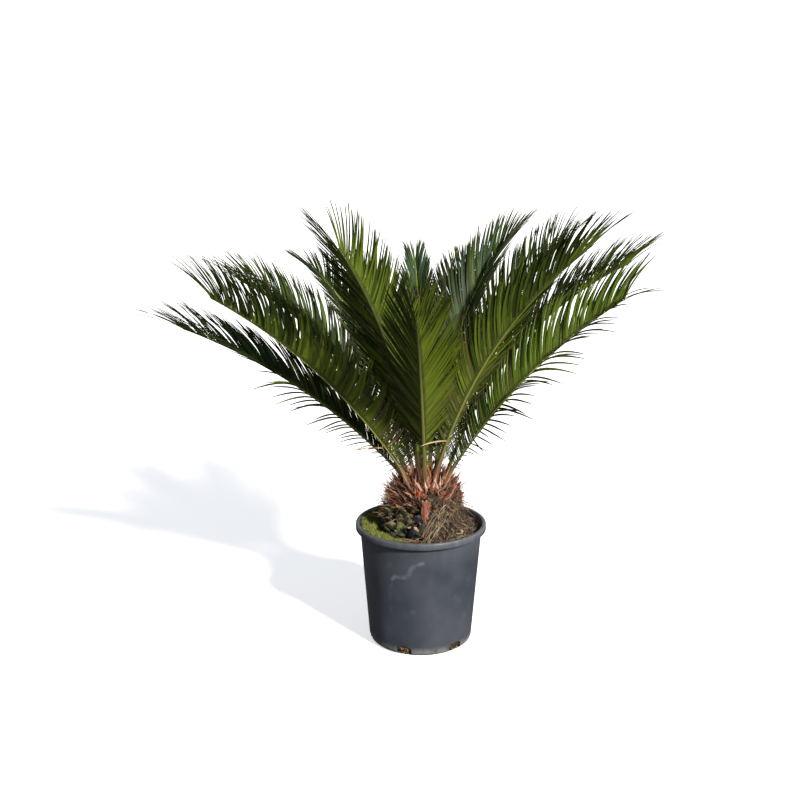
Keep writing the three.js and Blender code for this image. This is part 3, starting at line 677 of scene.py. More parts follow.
UPPER_SHADES = {
    "upper_deep": (0.013, 0.025, 0.003), "upper_dark": (0.021, 0.04, 0.004), "upper": (0.037, 0.067, 0.006),
    "upper_fresh": (0.062, 0.102, 0.009), "upper_bright": (0.098, 0.148, 0.012),
}
UNDER_SHADES = {
    "under_deep": (0.022, 0.035, 0.004), "under_dark": (0.042, 0.065, 0.006), "under": (0.077, 0.112, 0.009),
    "under_light": (0.12, 0.165, 0.012),
}
OTHER_SHADES = {
    "foot": (0.06, 0.08, 0.014), "point": (0.085, 0.055, 0.022), "dry": (0.36, 0.19, 0.07),
    "straw": (0.55, 0.4, 0.22), "aged": (0.09, 0.085, 0.022), "teal": (0.04, 0.08, 0.035),
}
UNDER_FIRST = len(UPPER_SHADES)
OTHER_FIRST = UNDER_FIRST + len(UNDER_SHADES)
FOOT_SHADE, POINT_SHADE, DRY_SHADE, STRAW_SHADE, AGED_SHADE, TEAL_SHADE = range(OTHER_FIRST, OTHER_FIRST + 6)


def leaf_materials():
    """Glossy upper faces, downy undersides, and the rest."""
    return (plain_materials("leaf_", UPPER_SHADES, 0.5, 220, 0.12 * MM, 0.2)
            + plain_materials("leaf_", UNDER_SHADES, 0.55, 420, 0.1 * MM, 0.25)
            + plain_materials("leaf_", OTHER_SHADES, 0.7, 300, 0.2 * MM))


def on_thin_side(frond, share, hand):
    side, until = frond.thin
    return (hand == side) & (share < until)


Chance = namedtuple("Chance", "length angle keel bend twist")


def in_clumps(count, rng, own, shared):
    """Normal draws along a rib: each leaflet's own part, and a part that it shares with its neighbours."""
    window = CLUMP_WINDOW / np.linalg.norm(CLUMP_WINDOW)
    common = rng.normal(0, shared, count + len(window) - 1)
    return rng.normal(0, own, count) + np.convolve(common, window, "valid")


def draw_chance(count, rng):
    """What each leaflet differs by: shares for its length and bend, degrees for its angles."""
    return Chance(
        length=rng.uniform(0.92, 1.02, count),
        angle=in_clumps(count, rng, 0.7, 0.8),
        keel=in_clumps(count, rng, 1.2, 1.4),
        bend=rng.uniform(0.7, 1.3, count),
        twist=in_clumps(count, rng, 5.5, 6.5),
    )


def leaflet_paths(frond, share, hand, chance, lift=0, cut=1):
    """Middle lines of leaflets at shares of the rib, on the side that hand gives, and their lengths."""
    place = stations(frond, share)
    is_thin = on_thin_side(frond, share, hand)
    length = leaflet_length(frond, share) * np.where(is_thin, THIN_LENGTH, 1) * chance.length * cut
    fan_from, fan_degrees = TIP_FAN
    fan = fan_degrees * np.clip((share - fan_from) / (LAST_LEAFLET - fan_from), 0, 1) ** 1.4
    angle = mix(*LEAFLET_ANGLES, leafy_share(frond, share)) - fan + np.where(hand > 0, *frond.lean)
    loose = 1 + LOOSER_TO_TIP * share ** LOOSE_POWER + LOOSER_THIN * is_thin
    angle = np.radians(angle + chance.angle * loose)[:, None]
    keel = mix(*frond.keel, share ** KEEL_POWER) + lift
    keel = np.radians(keel + chance.keel * loose)[:, None]
    left = place.side * hand[:, None]
    start = place.along * np.cos(angle)
    start = start + left * np.sin(angle) * np.cos(keel) + place.upper * np.sin(angle) * np.sin(keel)
    ahead, out, up = LEAFLET_BEND
    weight = up - THIN_DROOP * is_thin[:, None]
    bend = (place.along * ahead + place.upper * out + UP * weight) * chance.bend[:, None]
    root = place.point + left * (rib_size(RIB_WIDTH, share) * 0.4)[:, None]
    root = root + place.upper * (rib_size(RIB_DEPTH, share) * 0.25)[:, None]
    t = LEAFLET_STEPS[None, :, None]
    reach = length[:, None, None]
    path = root[:, None] + start[:, None] * reach * t + bend[:, None] * reach * t * t / 2
    return path, length


def rib_tree(frond):
    """A search tree of the points along every other frond's rib, and the rib's half width at each."""
    shares = np.linspace(0, 1, 300)
    others = [other for other in FRONDS if other.name != frond.name]
    points = np.concatenate([stations(other, shares).point for other in others])
    tree = kdtree.KDTree(len(points))
    for i, point in enumerate(points):
        tree.insert(point, i)
    tree.balance()
    return tree, np.tile(rib_size(RIB_WIDTH, shares) / 2, len(others))


def is_clear(line, tree, half_widths):
    """Whether a leaflet's middle line keeps off the ribs."""
    between = (line[1:-1] + line[2:]) / 2
    for point in np.concatenate([line[1:], between]):
        _, nearest, gap = tree.find(point)
        if gap < half_widths[nearest] + RIB_GAP:
            return False
    return True


def clear_paths(frond, share, hand, chance):
    """Leaflets that pass by the other ribs, lifted or cut short where they have to be.

    Gives which leaflets there is room for, and the path and the length of each of these.
    """
    tree, half_widths = rib_tree(frond)
    tries = [leaflet_paths(frond, share, hand, chance, lift, cut) for lift, cut in DETOURS]
    kept, paths, lengths = [], [], []
    for i in range(len(share)):
        clear = ((path[i], length[i]) for path, length in tries if is_clear(path[i], tree, half_widths))
        found = next(clear, None)
        kept.append(found is not None)
        if found:
            paths.append(found[0])
            lengths.append(found[1])
    return np.array(kept), np.array(paths), np.array(lengths)


def leaflet_shades(frond, share, hand, rng):
    """A row of face shades per leaflet: plain colours dealt out at random, shifted by painted light and
    shade.
    """
    rings = len(LEAFLET_STEPS) - 1
    sides = len(LEAFLET_SECTION)
    count = len(share)
    # The frond's tone and low are partly painted light and shade: darker in shade, lighter where lit.
    tone = np.where(hand > 0, *frond.tone) + frond.fade * np.clip((share - 0.45) / 0.4, 0, 1)
    tone = tone + frond.low * np.clip((0.42 - share) / 0.2, 0, 1)
    tone = tone + in_clumps(count, rng, 0, 0.6)
    drift = 0.5 + 0.5 * np.sin(share * 9 + frond.azimuth)
    spread = mix(1.5, 1.05, np.clip(share / 0.4, 0, 1))
    upper = rng.normal(1.5 + drift + tone, spread)
    under = rng.normal(1.6 + drift + tone, spread)
    dry = rng.uniform(size=count) < np.interp(share, [0.05, 0.16, 0.22], [0.05, 0.03, 0.0])
    aged = rng.uniform(size=count) < np.interp(share, [0.12, 0.45, 0.6], [frond.aged, 0.1, 0.0])
    teal = (rng.uniform(size=count) < frond.teal) & (share > TEAL_FROM)
    brown_point = rng.uniform(size=(count, 1, 1)) < 0.6
    shades = np.full((count, rings * sides + 1), FOOT_SHADE)
    grid = shades[:, :-1].reshape(count, rings, sides)
    # Each leaflet gets darker colours towards its point: partly its own colour, partly painted shade.
    darker = np.linspace(0.8, -1.4, rings)
    upper = np.clip(np.round(upper[:, None] + darker), 0, len(UPPER_SHADES) - 1)
    under = np.clip(np.round(under[:, None] + darker), 0, len(UNDER_SHADES) - 1)
    grid[:, :, :UPPER_SIDES] = upper[..., None]
    grid[:, :, UPPER_SIDES:] = UNDER_FIRST + under[..., None]
    grid[aged] = AGED_SHADE
    grid[teal] = TEAL_SHADE
    grid[dry] = DRY_SHADE
    grid[:, 0, :] = FOOT_SHADE
    grid[:, -2:, :] = np.where(brown_point, POINT_SHADE, grid[:, -2:, :])
    return shades


def make_leaflets(frond, materials, rng):
    """Both sides' leaflets as one piece; those that no detour keeps off the other ribs are left out."""
    even = (np.arange(LEAFLETS_PER_SIDE) + 0.5) / LEAFLETS_PER_SIDE
    share = mix(SPINES_FROM, LAST_LEAFLET, np.concatenate([even, even + 0.4 / LEAFLETS_PER_SIDE]))
    share = np.minimum(share + rng.normal(0, 0.0012, len(share)), LAST_LEAFLET)
    hand = np.repeat([1.0, -1.0], LEAFLETS_PER_SIDE)
    sparse = on_thin_side(frond, share, hand) & (np.arange(len(share)) % THIN_STEP > 0)
    share, hand = share[~sparse], hand[~sparse]
    chance = draw_chance(len(share), rng)
    kept, path, length = clear_paths(frond, share, hand, chance)
    share, hand, twist = share[kept], hand[kept], chance.twist[kept]
    along = stations(frond, share).along
    across = -hand[:, None, None] * np.broadcast_to(along[:, None], path.shape)
    broad = np.interp(length, *SHORT_NARROWING) * LEAFLET_WIDTH / 2
    broad = broad * np.interp(share, *NARROWING)
    broad = broad * np.where(on_thin_side(frond, share, hand), 1, frond.broad)
    broad = broad * mix(1, frond.lacy, np.clip((share - LACY_FROM) / LACY_RUN, 0, 1))
    half = broad[:, None] * LEAFLET_OUTLINE
    twist = np.radians(hand * -3 + twist)[:, None] * np.linspace(1, 0.5, path.shape[1])
    pile = Pile()
    for rings, shades in zip(sweep(path, across, half, half, LEAFLET_SECTION, twist),
                             leaflet_shades(frond, share, hand, rng)):
        pile.loft(rings, shades, pointed=True)
    pile.piece(frond.name + "_leaflets", materials, "frond", frond.name, crease=38)


RIB_PLACES = (0.0, 0.06, 0.18, 0.5, 1.0)
RIB_COLOURS = {
    "green": ((0.2, 0.09, 0.035), (0.19, 0.15, 0.06), (0.22, 0.22, 0.045), (0.4, 0.42, 0.05),
              (0.22, 0.26, 0.03)),
    "olive": ((0.2, 0.07, 0.03), (0.2, 0.14, 0.055), (0.22, 0.21, 0.055), (0.27, 0.28, 0.045),
              (0.1, 0.13, 0.02)),
    # The shaded kind is painted shade: darker all along, for a rib that lies in shade.
    "shaded": ((0.1, 0.04, 0.02), (0.07, 0.045, 0.02), (0.05, 0.045, 0.015), (0.12, 0.13, 0.03),
               (0.09, 0.12, 0.02)),
    "tan": ((0.24, 0.09, 0.035), (0.22, 0.15, 0.055), (0.19, 0.15, 0.045), (0.17, 0.13, 0.03),
            (0.1, 0.1, 0.025)),
}


def rib_material(kind):
    """A rib is reddish where it leaves the trunk, then brown or tan, and then has its kind's colours."""
    colours = RIB_COLOURS[kind]
    material, tree, shader = new_material("rib_" + kind, colours[2], 0.45, 0.45)
    share = tree.nodes.new("ShaderNodeAttribute")
    share.attribute_name = "share"
    colour = ramp_node(tree, share.outputs["Fac"], *zip(RIB_PLACES, colours))
    tree.links.new(colour, shader.inputs["Base Color"])
    bump_node(tree, shader, noise_node(tree, 160, 5), 0.5 * MM, 0.7)
    return material


def rib_section():
    """Round below, with a shallow groove along the upper face."""
    x, y = round_section(14).T
    y = np.where(y > 0, 0.8 * y - 0.3 * np.exp(-(x / 0.35) ** 2), y)
    return np.stack([np.sign(x) * np.abs(x) ** 0.85, y], axis=1)


def make_rib(frond, materials):
    """The rib, with the share of its length on each point for its colours."""
    shares = np.concatenate([[-FOOT_SUNK / (frond.length * MM)], np.linspace(0, 1, 60)])
    place = stations(frond, shares)
    flare = 1 + 0.2 * np.clip(1 - shares / 0.05, 0, 1) ** 2
    wide = rib_size(RIB_WIDTH, shares) / 2 * flare
    deep = rib_size(RIB_DEPTH, shares) / 2 * flare
    section = rib_section()
    pile = Pile()
    pile.loft(sweep(place.point, -place.side, wide, deep, section), 0)
    rib = pile.piece(frond.name + "_rib", [materials[frond.rib]], "frond", crease=60)
    attribute = rib.data.attributes.new("share", "FLOAT", "POINT")
    attribute.data.foreach_set("value", np.repeat(np.clip(shares, 0, 1), len(section)))


DRY_LEAFLETS = [  # frond, share, side, heading, length and width in mm, shade: dead ones that stand out
    ("frond_front_right", 0.15, -1, (-0.63, -0.97, 0.14), 138, 4.0, STRAW_SHADE),
    ("frond_left", 0.17, 1, (-0.82, -0.62, 0.02), 96, 4.0, STRAW_SHADE),
    ("frond_left", 0.14, 1, (-0.8, -0.7, 0.14), 50, 3.4, DRY_SHADE),
    ("frond_left_front", 0.16, -1, (-1, -0.3, 0.1), 34, 3.4, DRY_SHADE),
    ("frond_right_front", 0.41, -1, (0.7, -0.5, -0.3), 30, 4.5, DRY_SHADE),
]


def make_dry_leaflets(materials):
    """The placed dead leaflets, each rooted on its frond's rib."""
    fronds = {frond.name: frond for frond in FRONDS}
    pile = Pile()
    t = LEAFLET_STEPS
    for name, share, hand, heading, length, width, shade in DRY_LEAFLETS:
        place = stations(fronds[name], np.array([share]))
        root = place.point[0] + place.side[0] * hand * rib_size(RIB_WIDTH, share) * 0.4
        reach = length * MM
        path = root + np.outer(t * reach, unit(np.array(heading))) + np.outer(t * (1 - t) * reach * 0.12, UP)
        half = LEAFLET_OUTLINE * width / 2 * MM
        pile.loft(sweep(path, place.along[0], half, half, LEAFLET_SECTION, 1.2 * t), shade, pointed=True)
    pile.piece("dry_leaflets", materials, "frond", crease=38)


def make_fronds(rng):
    rib_materials = {kind: rib_material(kind) for kind in RIB_COLOURS}
    materials = leaf_materials()
    for frond in FRONDS:
        make_rib(frond, rib_materials)
        make_leaflets(frond, materials, rng)
    make_dry_leaflets(materials)


# ---------------------------------------------------------------- trunk

LEFT_FRONT = 232  # degrees: the side where the lowest leaf bases show


def stem_radius(height):
    return np.interp(height, TRUNK_PROFILE[:, 1], TRUNK_PROFILE[:, 0])


def stem_axis(height):
    return np.array([mix(TRUNK_FOOT_X, TRUNK_TOP_X, height / TRUNK_HEIGHT), 0, TRUNK_FOOT + height])


def on_stem(height, angle, sunk=0.0):
    """A point on the stem's surface and the directions out of it and round it."""
    out, around = directions(angle)
    return stem_axis(height) + out * (stem_radius(height) - sunk), out, around


def make_stem():
    """The stem under the leaf bases, with its own rough bark."""
    heights = np.concatenate([np.linspace(0, 130, 44), np.linspace(132, 174.5, 16)]) * MM
    profile = np.column_stack([np.maximum(stem_radius(heights) - 3 * MM, 1 * MM), heights])
    rings = rough(spin(profile, 150), 45, 7 * MM)
    rings = rough(rings, 160, 4 * MM, 2.0)
    rings[..., 2] = np.maximum(rings[..., 2], 0)
    lean = (TRUNK_TOP_X - TRUNK_FOOT_X) / TRUNK_HEIGHT
    rings[..., 0] += TRUNK_FOOT_X + lean * rings[..., 2]
    rings[..., 2] += TRUNK_FOOT
    pile = Pile()
    pile.loft(rings, 0)
    bark = mottled_material("stem_bark", (0.01, 0.007, 0.005), (0.035, 0.021, 0.013), (0.11, 0.062, 0.036),
                            0.9, 60, 3 * MM, (1, 1, 0.5))
    pile.piece("trunk_stem", [bark], "trunk", "trunk", crease=70)


BASE_SHADES = {
    "black": (0.014, 0.01, 0.008), "brown": (0.06, 0.036, 0.022), "rust": (0.19, 0.08, 0.04),
    "grey": (0.1, 0.092, 0.075), "olive": (0.085, 0.095, 0.03), "khaki": (0.22, 0.185, 0.1),
    "cream": (0.46, 0.35, 0.24), "teal": (0.045, 0.062, 0.045), "slate": (0.043, 0.047, 0.06),
}
# How often each shade comes, and what it gains higher up and at the left front.
BASE_WEIGHTS = np.array([0.36, 0.34, 0, 0.08, 0, 0.02, 0.004, 0, 0])
BASE_HIGHER = np.array([0, 0, 0.6, 0, 0, 0, 0, 0, 0])
BASE_LEFT_FRONT = np.array([-0.25, 0, 0, 0.4, 0.4, 0.2, 0, 0.12, 0.08])
BASE_COUNT = 130
PLACED_BASES = [  # at the front and the left: angle in degrees, height and half width in mm, shade
    (-138, 26, 16, 5), (-121, 24, 14, 4), (-112, 50, 10, 5), (-104, 14, 12, 8), (-97, 26, 6, 6),
    (-85, 20, 12, 7), (-151, 40, 14, 3), (-130, 52, 12, 4), (-99, 52, 11, 8), (-164, 30, 14, 3),
    (-112, 12, 9, 0), (-126, 6, 12, 7), (-176, 22, 15, 1), (-143, 62, 11, 4), (-120, 72, 10, 7),
    (-146, 8, 13, 4), (-160, 58, 11, 4), (-90, 8, 10, 3),
]
BASE_STEPS = np.array([0, 0.3, 0.55, 0.75, 0.9, 1.0, 1.06])
BASE_OUTLINE = np.array([1.0, 1.08, 1.0, 0.84, 0.6, 0.32, 0.08])
BASE_FLATNESS = np.array([0.55, 0.5, 0.42, 0.38, 0.36, 0.36, 0.36])
BASE_SIDES = 10


def add_leaf_base(pile, angle, height, broad, rise, lean, length, shade, end, rng, sunk=12 * MM):
    """The stump of an old leaf: a flat, ridged scale that narrows to a ragged point."""
    section = round_section(BASE_SIDES)
    section = np.sign(section) * np.abs(section) ** 1.6
    root, out, around = on_stem(height, angle, sunk)
    heading = unit(out * math.cos(rise) + UP * math.sin(rise) + around * lean)
    path = root + np.outer(BASE_STEPS * length, heading) + np.outer(BASE_STEPS ** 2 * 6 * MM, UP)
    wide = broad * BASE_OUTLINE
    rings = sweep(path, -around, wide, wide * BASE_FLATNESS, section, rng.normal(0, 0.25))
    rings = rough(rings, 90, 5.0 * MM, angle * 3.7 + height * 50)
    rings = rough(rings, 300, 2.0 * MM, angle)
    shades = np.full((len(BASE_STEPS) - 1) * BASE_SIDES + 2, shade)
    shades[-2 * BASE_SIDES - 2:-1] = end
    pile.loft(rings, shades)


def make_leaf_bases(rng):
    """Old leaf bases in a spiral: large, dark and mossy at the foot, smaller and rusty above."""
    pile = Pile()
    for i in range(BASE_COUNT):
        angle = i * GOLDEN_ANGLE
        share = i / (BASE_COUNT - 1)
        rise = math.radians(mix(4, 50, share) + rng.normal(0, 8))
        left_front = facing(angle, LEFT_FRONT, 80)
        shade = pick(rng, BASE_WEIGHTS + max(share - 0.25, 0) * BASE_HIGHER + left_front * BASE_LEFT_FRONT)
        end = rng.choice([shade, shade, 1, 5 if left_front > 0.4 else 2])
        broad = mix(17, 10, share) * rng.uniform(0.8, 1.15) * MM
        add_leaf_base(pile, angle, mix(6, 122, share ** 0.9) * MM, broad, rise, rng.normal(0, 0.2),
                      rng.uniform(24, 40) * MM, shade, end, rng)
    for degrees, height, broad, shade in PLACED_BASES:
        add_leaf_base(pile, math.radians(degrees), height * MM, broad * MM, math.radians(rng.uniform(30, 62)),
                      rng.normal(0, 0.2), rng.uniform(34, 42) * MM, shade, shade, rng, sunk=2 * MM)
    materials = []
    for name, colour in BASE_SHADES.items():
        dark, light = [tuple(part * c for c in colour) for part in (0.4, 1.6)]
        materials.append(mottled_material("base_" + name, dark, colour, light, 0.88, 110, 1.6 * MM))
    pile.piece("trunk_leaf_bases", materials, "trunk", crease=55)


SCALE_SHADES = {
    "pink": (0.52, 0.24, 0.165), "orange": (0.44, 0.16, 0.06), "red": (0.3, 0.07, 0.045),
    "pale": (0.7, 0.46, 0.35), "brown": (0.045, 0.021, 0.013), "tan": (0.37, 0.22, 0.12),
    "bright": (0.9, 0.19, 0.05),
}
COLLAR_SHARES = [0.3, 0.12, 0.09, 0.12, 0.26, 0.11]
STRIP_SHARES = [0.32, 0.05, 0.08, 0.24, 0.21, 0.1]
BUD_SHARES = [0.2, 0.2, 0.1, 0.1, 0.2, 0.2]
SCALE_OUTLINE = np.array([0.9, 1.0, 0.9, 0.72, 0.5, 0.3, 0.12, 0.02])
COLLAR_COUNT = 560
LEFT_STRIPS = 170
LOW_STRIPS = 46
BUD_COUNT = 46
SPOT_SCALES = [  # angle in degrees, height, half width and length in mm, shade: a bright spot at the front
    (-99.5, 130, 7.5, 24, 6), (-103, 134, 4, 26, 2), (-95.5, 133, 4, 26, 2), (-99, 138, 6, 16, 6),
    (-105, 128, 3.5, 26, 1), (-93.5, 128, 3.5, 28, 1),
]


def add_scale(pile, height, angle, rise, lean, length, broad, curl, shade, seed, twist=0.0, sunk=8 * MM):
    section = round_section(6)
    t = np.linspace(0, 1, len(SCALE_OUTLINE))
    root, out, around = on_stem(height, angle, sunk)
    heading = unit(out * math.cos(rise) + UP * math.sin(rise) + around * lean)
    path = bent_path(root, heading, out * curl + UP * 0.12, length, t)
    wide = broad * SCALE_OUTLINE
    rings = sweep(path, -around, wide, np.maximum(wide * 0.3, 0.4 * MM), section, twist)
    pile.loft(rough(rings, 120, 1.8 * MM, seed), shade, pointed=True)


def make_collar(rng):
    """Narrow, woolly scales round and under the fronds' feet, pointing up and out, some across each other."""
    pile = Pile()
    for i in range(COLLAR_COUNT):
        share = (i + 0.5) / COLLAR_COUNT
        rise = math.radians(mix(20, 80, share) + rng.normal(0, 14))
        length = rng.uniform(26, 66) * MM * mix(0.85, 1.1, share)
        shade = rng.choice(6, p=COLLAR_SHARES)
        add_scale(pile, mix(74, 160, share ** 0.8) * MM, i * GOLDEN_ANGLE + 0.4, rise, rng.normal(0, 0.4),
                  length, rng.uniform(1.3, rng.choice([3.2, 5.0])) * MM, rng.normal(0.05, 0.28), shade,
                  i * 0.21, rng.normal(0, 0.6))
    for i in range(LEFT_STRIPS):
        angle = math.radians(rng.uniform(150, 262))
        shade = rng.choice(6, p=STRIP_SHARES)
        lowest = 82 if facing(angle, LEFT_FRONT, 60) > 0.2 else 50
        add_scale(pile, rng.uniform(lowest, 120) * MM, angle, math.radians(rng.normal(34, 12)),
                  rng.normal(0, 0.35), rng.uniform(30, 62) * MM, rng.uniform(0.9, 2.3) * MM,
                  rng.normal(0, 0.3), shade, i * 0.4)
    for i in range(LOW_STRIPS):
        angle = math.radians(rng.normal(192, 16))
        add_scale(pile, rng.uniform(56, 100) * MM, angle, math.radians(rng.normal(8, 16)), rng.normal(0, 0.3),
                  rng.uniform(40, 66) * MM, rng.uniform(0.9, 2.0) * MM, rng.normal(0, 0.3),
                  rng.choice([0, 3, 4, 5]), i * 0.7)
    for degrees, height, broad, length, shade in SPOT_SCALES:
        add_scale(pile, height * MM, math.radians(degrees), math.radians(66), 0.0, length * MM, broad * MM,
                  0.6, shade, degrees, sunk=-7 * MM)
    materials = plain_materials("scale_", SCALE_SHADES, 0.8, 260, 0.8 * MM)
    pile.piece("trunk_scales", materials, "trunk", crease=50)


def make_bud(rng):
    """The closed bud in the middle of the crown: upright scales folded round each other."""
    centre = np.array([TRUNK_TOP_X, 0, TRUNK_FOOT + TRUNK_HEIGHT])
    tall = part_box("crown_bud")[1].z - centre[2]
    pile = Pile()
    section = round_section(8)
    t = np.linspace(0, 1, len(SCALE_OUTLINE))
    for i in range(BUD_COUNT):
        share = i / (BUD_COUNT - 1)
        out, around = directions(i * GOLDEN_ANGLE)
        length = tall * mix(0.6, 1.0, share)
        root = centre + out * mix(19, 3, share) * MM - UP * 6 * MM
        path = root + np.outer(t * length, UP) - np.outer(t * t, out) * mix(14, 2, share) * MM
        wide = mix(8, 4, share) * MM * SCALE_OUTLINE
        pile.loft(sweep(path, around, wide, wide * 0.35, section), rng.choice(6, p=BUD_SHARES), pointed=True)
    materials = plain_materials("bud_scale_", SCALE_SHADES, 0.85, 260, 0.8 * MM)
    pile.piece("bud_scales", materials, "trunk", "crown_bud", crease=50)


FIBRE_SHADES = {
    "dark": (0.02, 0.014, 0.009), "brown": (0.09, 0.058, 0.032), "grey": (0.17, 0.135, 0.09),
    "tan": (0.28, 0.2, 0.115), "pale": (0.5, 0.39, 0.28), "red": (0.25, 0.085, 0.05),
    "pink": (0.38, 0.17, 0.11),
}
HANGING_WEIGHTS = [0.28, 0.24, 0.22, 0.15, 0.05, 0.02, 0.04]
STANDING_WEIGHTS = np.array([0.26, 0.2, 0.14, 0.1, 0.06, 0.04, 0.04])
STANDING_LEFT = np.array([0, 0, 0, 0, 0.1, 0, 0])
STANDING_HIGHER = np.array([0, 0, 0, 0, 0, 0.16, 0.26])
HANGING_COUNT = 1500
STANDING_COUNT = 620
STRAND_REACH = 160 * MM
STRIP = [  # angle in degrees, length and half width in mm: the torn strip of a leaf base at the front
    (-93.5, 40, 2.4), (-91.5, 55, 2.8), (-89.5, 62, 3.0), (-87.5, 56, 2.6), (-85.5, 38, 2.4),
    (-90.5, 46, 2.6), (-88, 50, 2.2), (-84, 26, 2.0),
]
STRIP_OUTLINE = np.array([0.8, 1, 1.05, 1, 1, 0.95, 0.9, 0.7, 0.25])


def add_strand(pile, path, thick, shade, section, across, flat=0.6):
    taper = np.interp(np.linspace(0, 1, len(path)), [0, 0.15, 0.8, 1], [0.7, 1, 0.8, 0.25])
    half = thick / 2 * taper
    pile.loft(sweep(path, across, half, half * flat, section), shade)


def laid_on_stem(path, lift):
    """Pushes a path out of the stem and off the soil; what would go below the soil runs outwards on it."""
    path = path.copy()
    under = np.maximum(SOIL_LEVEL + lift * 0.4 - path[:, 2], 0)
    path[:, 2] += under
    height = np.clip(path[:, 2] - TRUNK_FOOT, 0, TRUNK_HEIGHT)
    middle = np.stack([mix(TRUNK_FOOT_X, TRUNK_TOP_X, height / TRUNK_HEIGHT), np.zeros(len(path))], axis=1)
    away = path[:, :2] - middle
    reach = np.linalg.norm(away, axis=1)
    wanted = np.maximum(reach, stem_radius(height) + lift) + under * 0.9
    path[:, :2] = middle + away * (wanted / reach)[:, None]
    off = np.linalg.norm(path[:, :2], axis=1)
    path[:, :2] *= np.minimum(1, STRAND_REACH / off)[:, None]
    return path


def add_hanging(pile, rng):
    """Dead strands that hang down the right side in a tangle, like hay, and run out on the soil."""
    section = round_section(4)
    t = np.linspace(0, 1, 10)
    for _ in range(HANGING_COUNT):
        angle = math.radians(rng.choice([rng.uniform(-93, 70), rng.normal(-42, 28)]))
        root, out, around = on_stem(rng.uniform(22, 122) * MM, angle)
        length = rng.uniform(28, 84) * MM
        slant = rng.normal(0, 0.9)
        slant = max(slant, -0.5) if angle < -0.9 else slant
        wave = np.sin(t * rng.uniform(3, 11) + rng.uniform(0, 6)) * rng.uniform(1, 9) * MM
        drop = t + 0.16 * np.sin(t * rng.uniform(4, 9) + rng.uniform(0, 6)) * rng.uniform()
        path = root + np.outer(drop * length, out * 0.2 - UP) + np.outer(t * length * slant + wave, around)
        path = path + np.outer(np.sin(t * math.pi) * rng.uniform(-4, 11) * MM, out)
        lift = rng.uniform(1, 17) * MM
        clump = noise.noise(Vector(root) * 38)
        weights = np.array(HANGING_WEIGHTS)
        # Strands that lie close against the stem get the dark shade more often: painted shade deep in the
        # tangle.
        weights[0] *= 2.6 if clump < -0.08 or lift < 5 * MM else 0.6
        weights[3:5] *= 1.8 if clump > 0.12 else 0.7
        shade = pick(rng, weights)
        thick = rng.uniform(0.8, rng.choice([1.8, 2.9])) * MM
        add_strand(pile, laid_on_stem(path, lift), thick, shade, section, around)


def add_standing(pile, rng):
    """Loose fibres that stand out of the stem, longest at the left and reddest in the collar."""
    section = round_section(4)
    t = np.linspace(0, 1, 6)
    for _ in range(STANDING_COUNT):
        angle = rng.uniform(0, 2 * math.pi)
        share = mix(0.5, 1, rng.uniform()) if facing(angle, LEFT_FRONT, 60) > 0.2 else rng.uniform()
        root, out, around = on_stem(mix(20, 150, share) * MM, angle, 2 * MM)
        left = facing(angle, 185, 70)
        length = rng.uniform(18, 46) * MM * (1 + 0.4 * left)
        heading = out * rng.uniform(0.5, 1.1) + UP * (rng.normal(0.3, 0.4) + share)
        heading = unit(heading + around * rng.normal(0, 0.4))
        bend = out * rng.normal(0, 0.25) + around * rng.normal(0, 0.35) - UP * rng.uniform(-0.2, 0.7)
        path = bent_path(root, heading, bend, length, t)
        path[:, 2] = np.maximum(path[:, 2], SOIL_LEVEL + 1.5 * MM)
        shade = pick(rng, STANDING_WEIGHTS + left * STANDING_LEFT + share * STANDING_HIGHER)
        add_strand(pile, path, rng.uniform(0.7, 1.7) * MM, shade, section, around)


def add_strip(pile):
    """The torn red strip at the front."""
    section = round_section(6)
    t = np.linspace(0, 1, len(STRIP_OUTLINE))
    for i, (degrees, length, broad) in enumerate(STRIP):
        root, out, around = on_stem((128 - 3 * (i % 3)) * MM, math.radians(degrees))
        sway = np.sin(t * 5 + i) * 1.2 * MM
        path = root + np.outer(t * length * MM, out * 0.1 - UP) + np.outer(sway, around)
        path = laid_on_stem(path, (24 + 2 * (i % 3)) * MM)
        half = broad * MM * STRIP_OUTLINE
        rings = rough(sweep(path, around, half, half * 0.35, section), 150, 1.2 * MM, i)
        pile.loft(rings, 5 if i % 3 else 6)


def make_fibres(rng):
    pile = Pile()
    add_standing(pile, rng)
    add_hanging(pile, rng)
    add_strip(pile)
    materials = plain_materials("fibre_", FIBRE_SHADES, 0.8, 400, 0.2 * MM)
    pile.piece("trunk_fibres", materials, "trunk", crease=60)


# ---------------------------------------------------------------- moss and dead strands

MOSS_SHADES = {
    "deep": (0.05, 0.06, 0.015), "green": (0.11, 0.14, 0.02), "bright": (0.2, 0.25, 0.032),
    "olive": (0.19, 0.16, 0.055), "straw": (0.34, 0.26, 0.13),
}
MOSS_FIRST_ANGLE = 106
MOSS_LAST_ANGLE = 257
MOSS_INNER = 118 * MM
MOSS_OUTER = 173.5 * MM
MOSS_COLUMNS = 120
MOSS_ROWS = 20
TUFT_COUNT = 6400


def moss_lumps(radius, angle):
    place = Vector((radius * math.cos(angle), radius * math.sin(angle), 0))
    return noise.noise(place * 70) + 0.6 * noise.noise(place * 170)


def moss_inner(angle):
    """Radius of the moss's ragged inner edge."""
    ragged = noise.noise(Vector((4 * math.cos(angle), 4 * math.sin(angle), 0.0)))
    return MOSS_INNER + 20 * MM * ragged + 5 * MM * math.sin(23 * angle)


def moss_height(radius, angle):
    """Height of the moss over the soil: cushions that climb to the wall at the left, thin at the ends."""
    along = (math.degrees(angle) - MOSS_FIRST_ANGLE) / (MOSS_LAST_ANGLE - MOSS_FIRST_ANGLE)
    ends = min(1.0, 7 * along, 7 * (1 - along))
    inner = moss_inner(angle)
    inward = min(max((radius - inner) / (MOSS_OUTER - inner), 0.0), 1.0)
    swell = math.sin(math.pi * min(inward * 1.1, 1.0)) ** 0.5
    climb = 20 * MM * inward * min(1.0, 1.6 * facing(angle, 165, 95))
    return ends * (8 * MM * swell + climb + 5 * MM * moss_lumps(radius, angle) * min(1.0, 5 * inward))


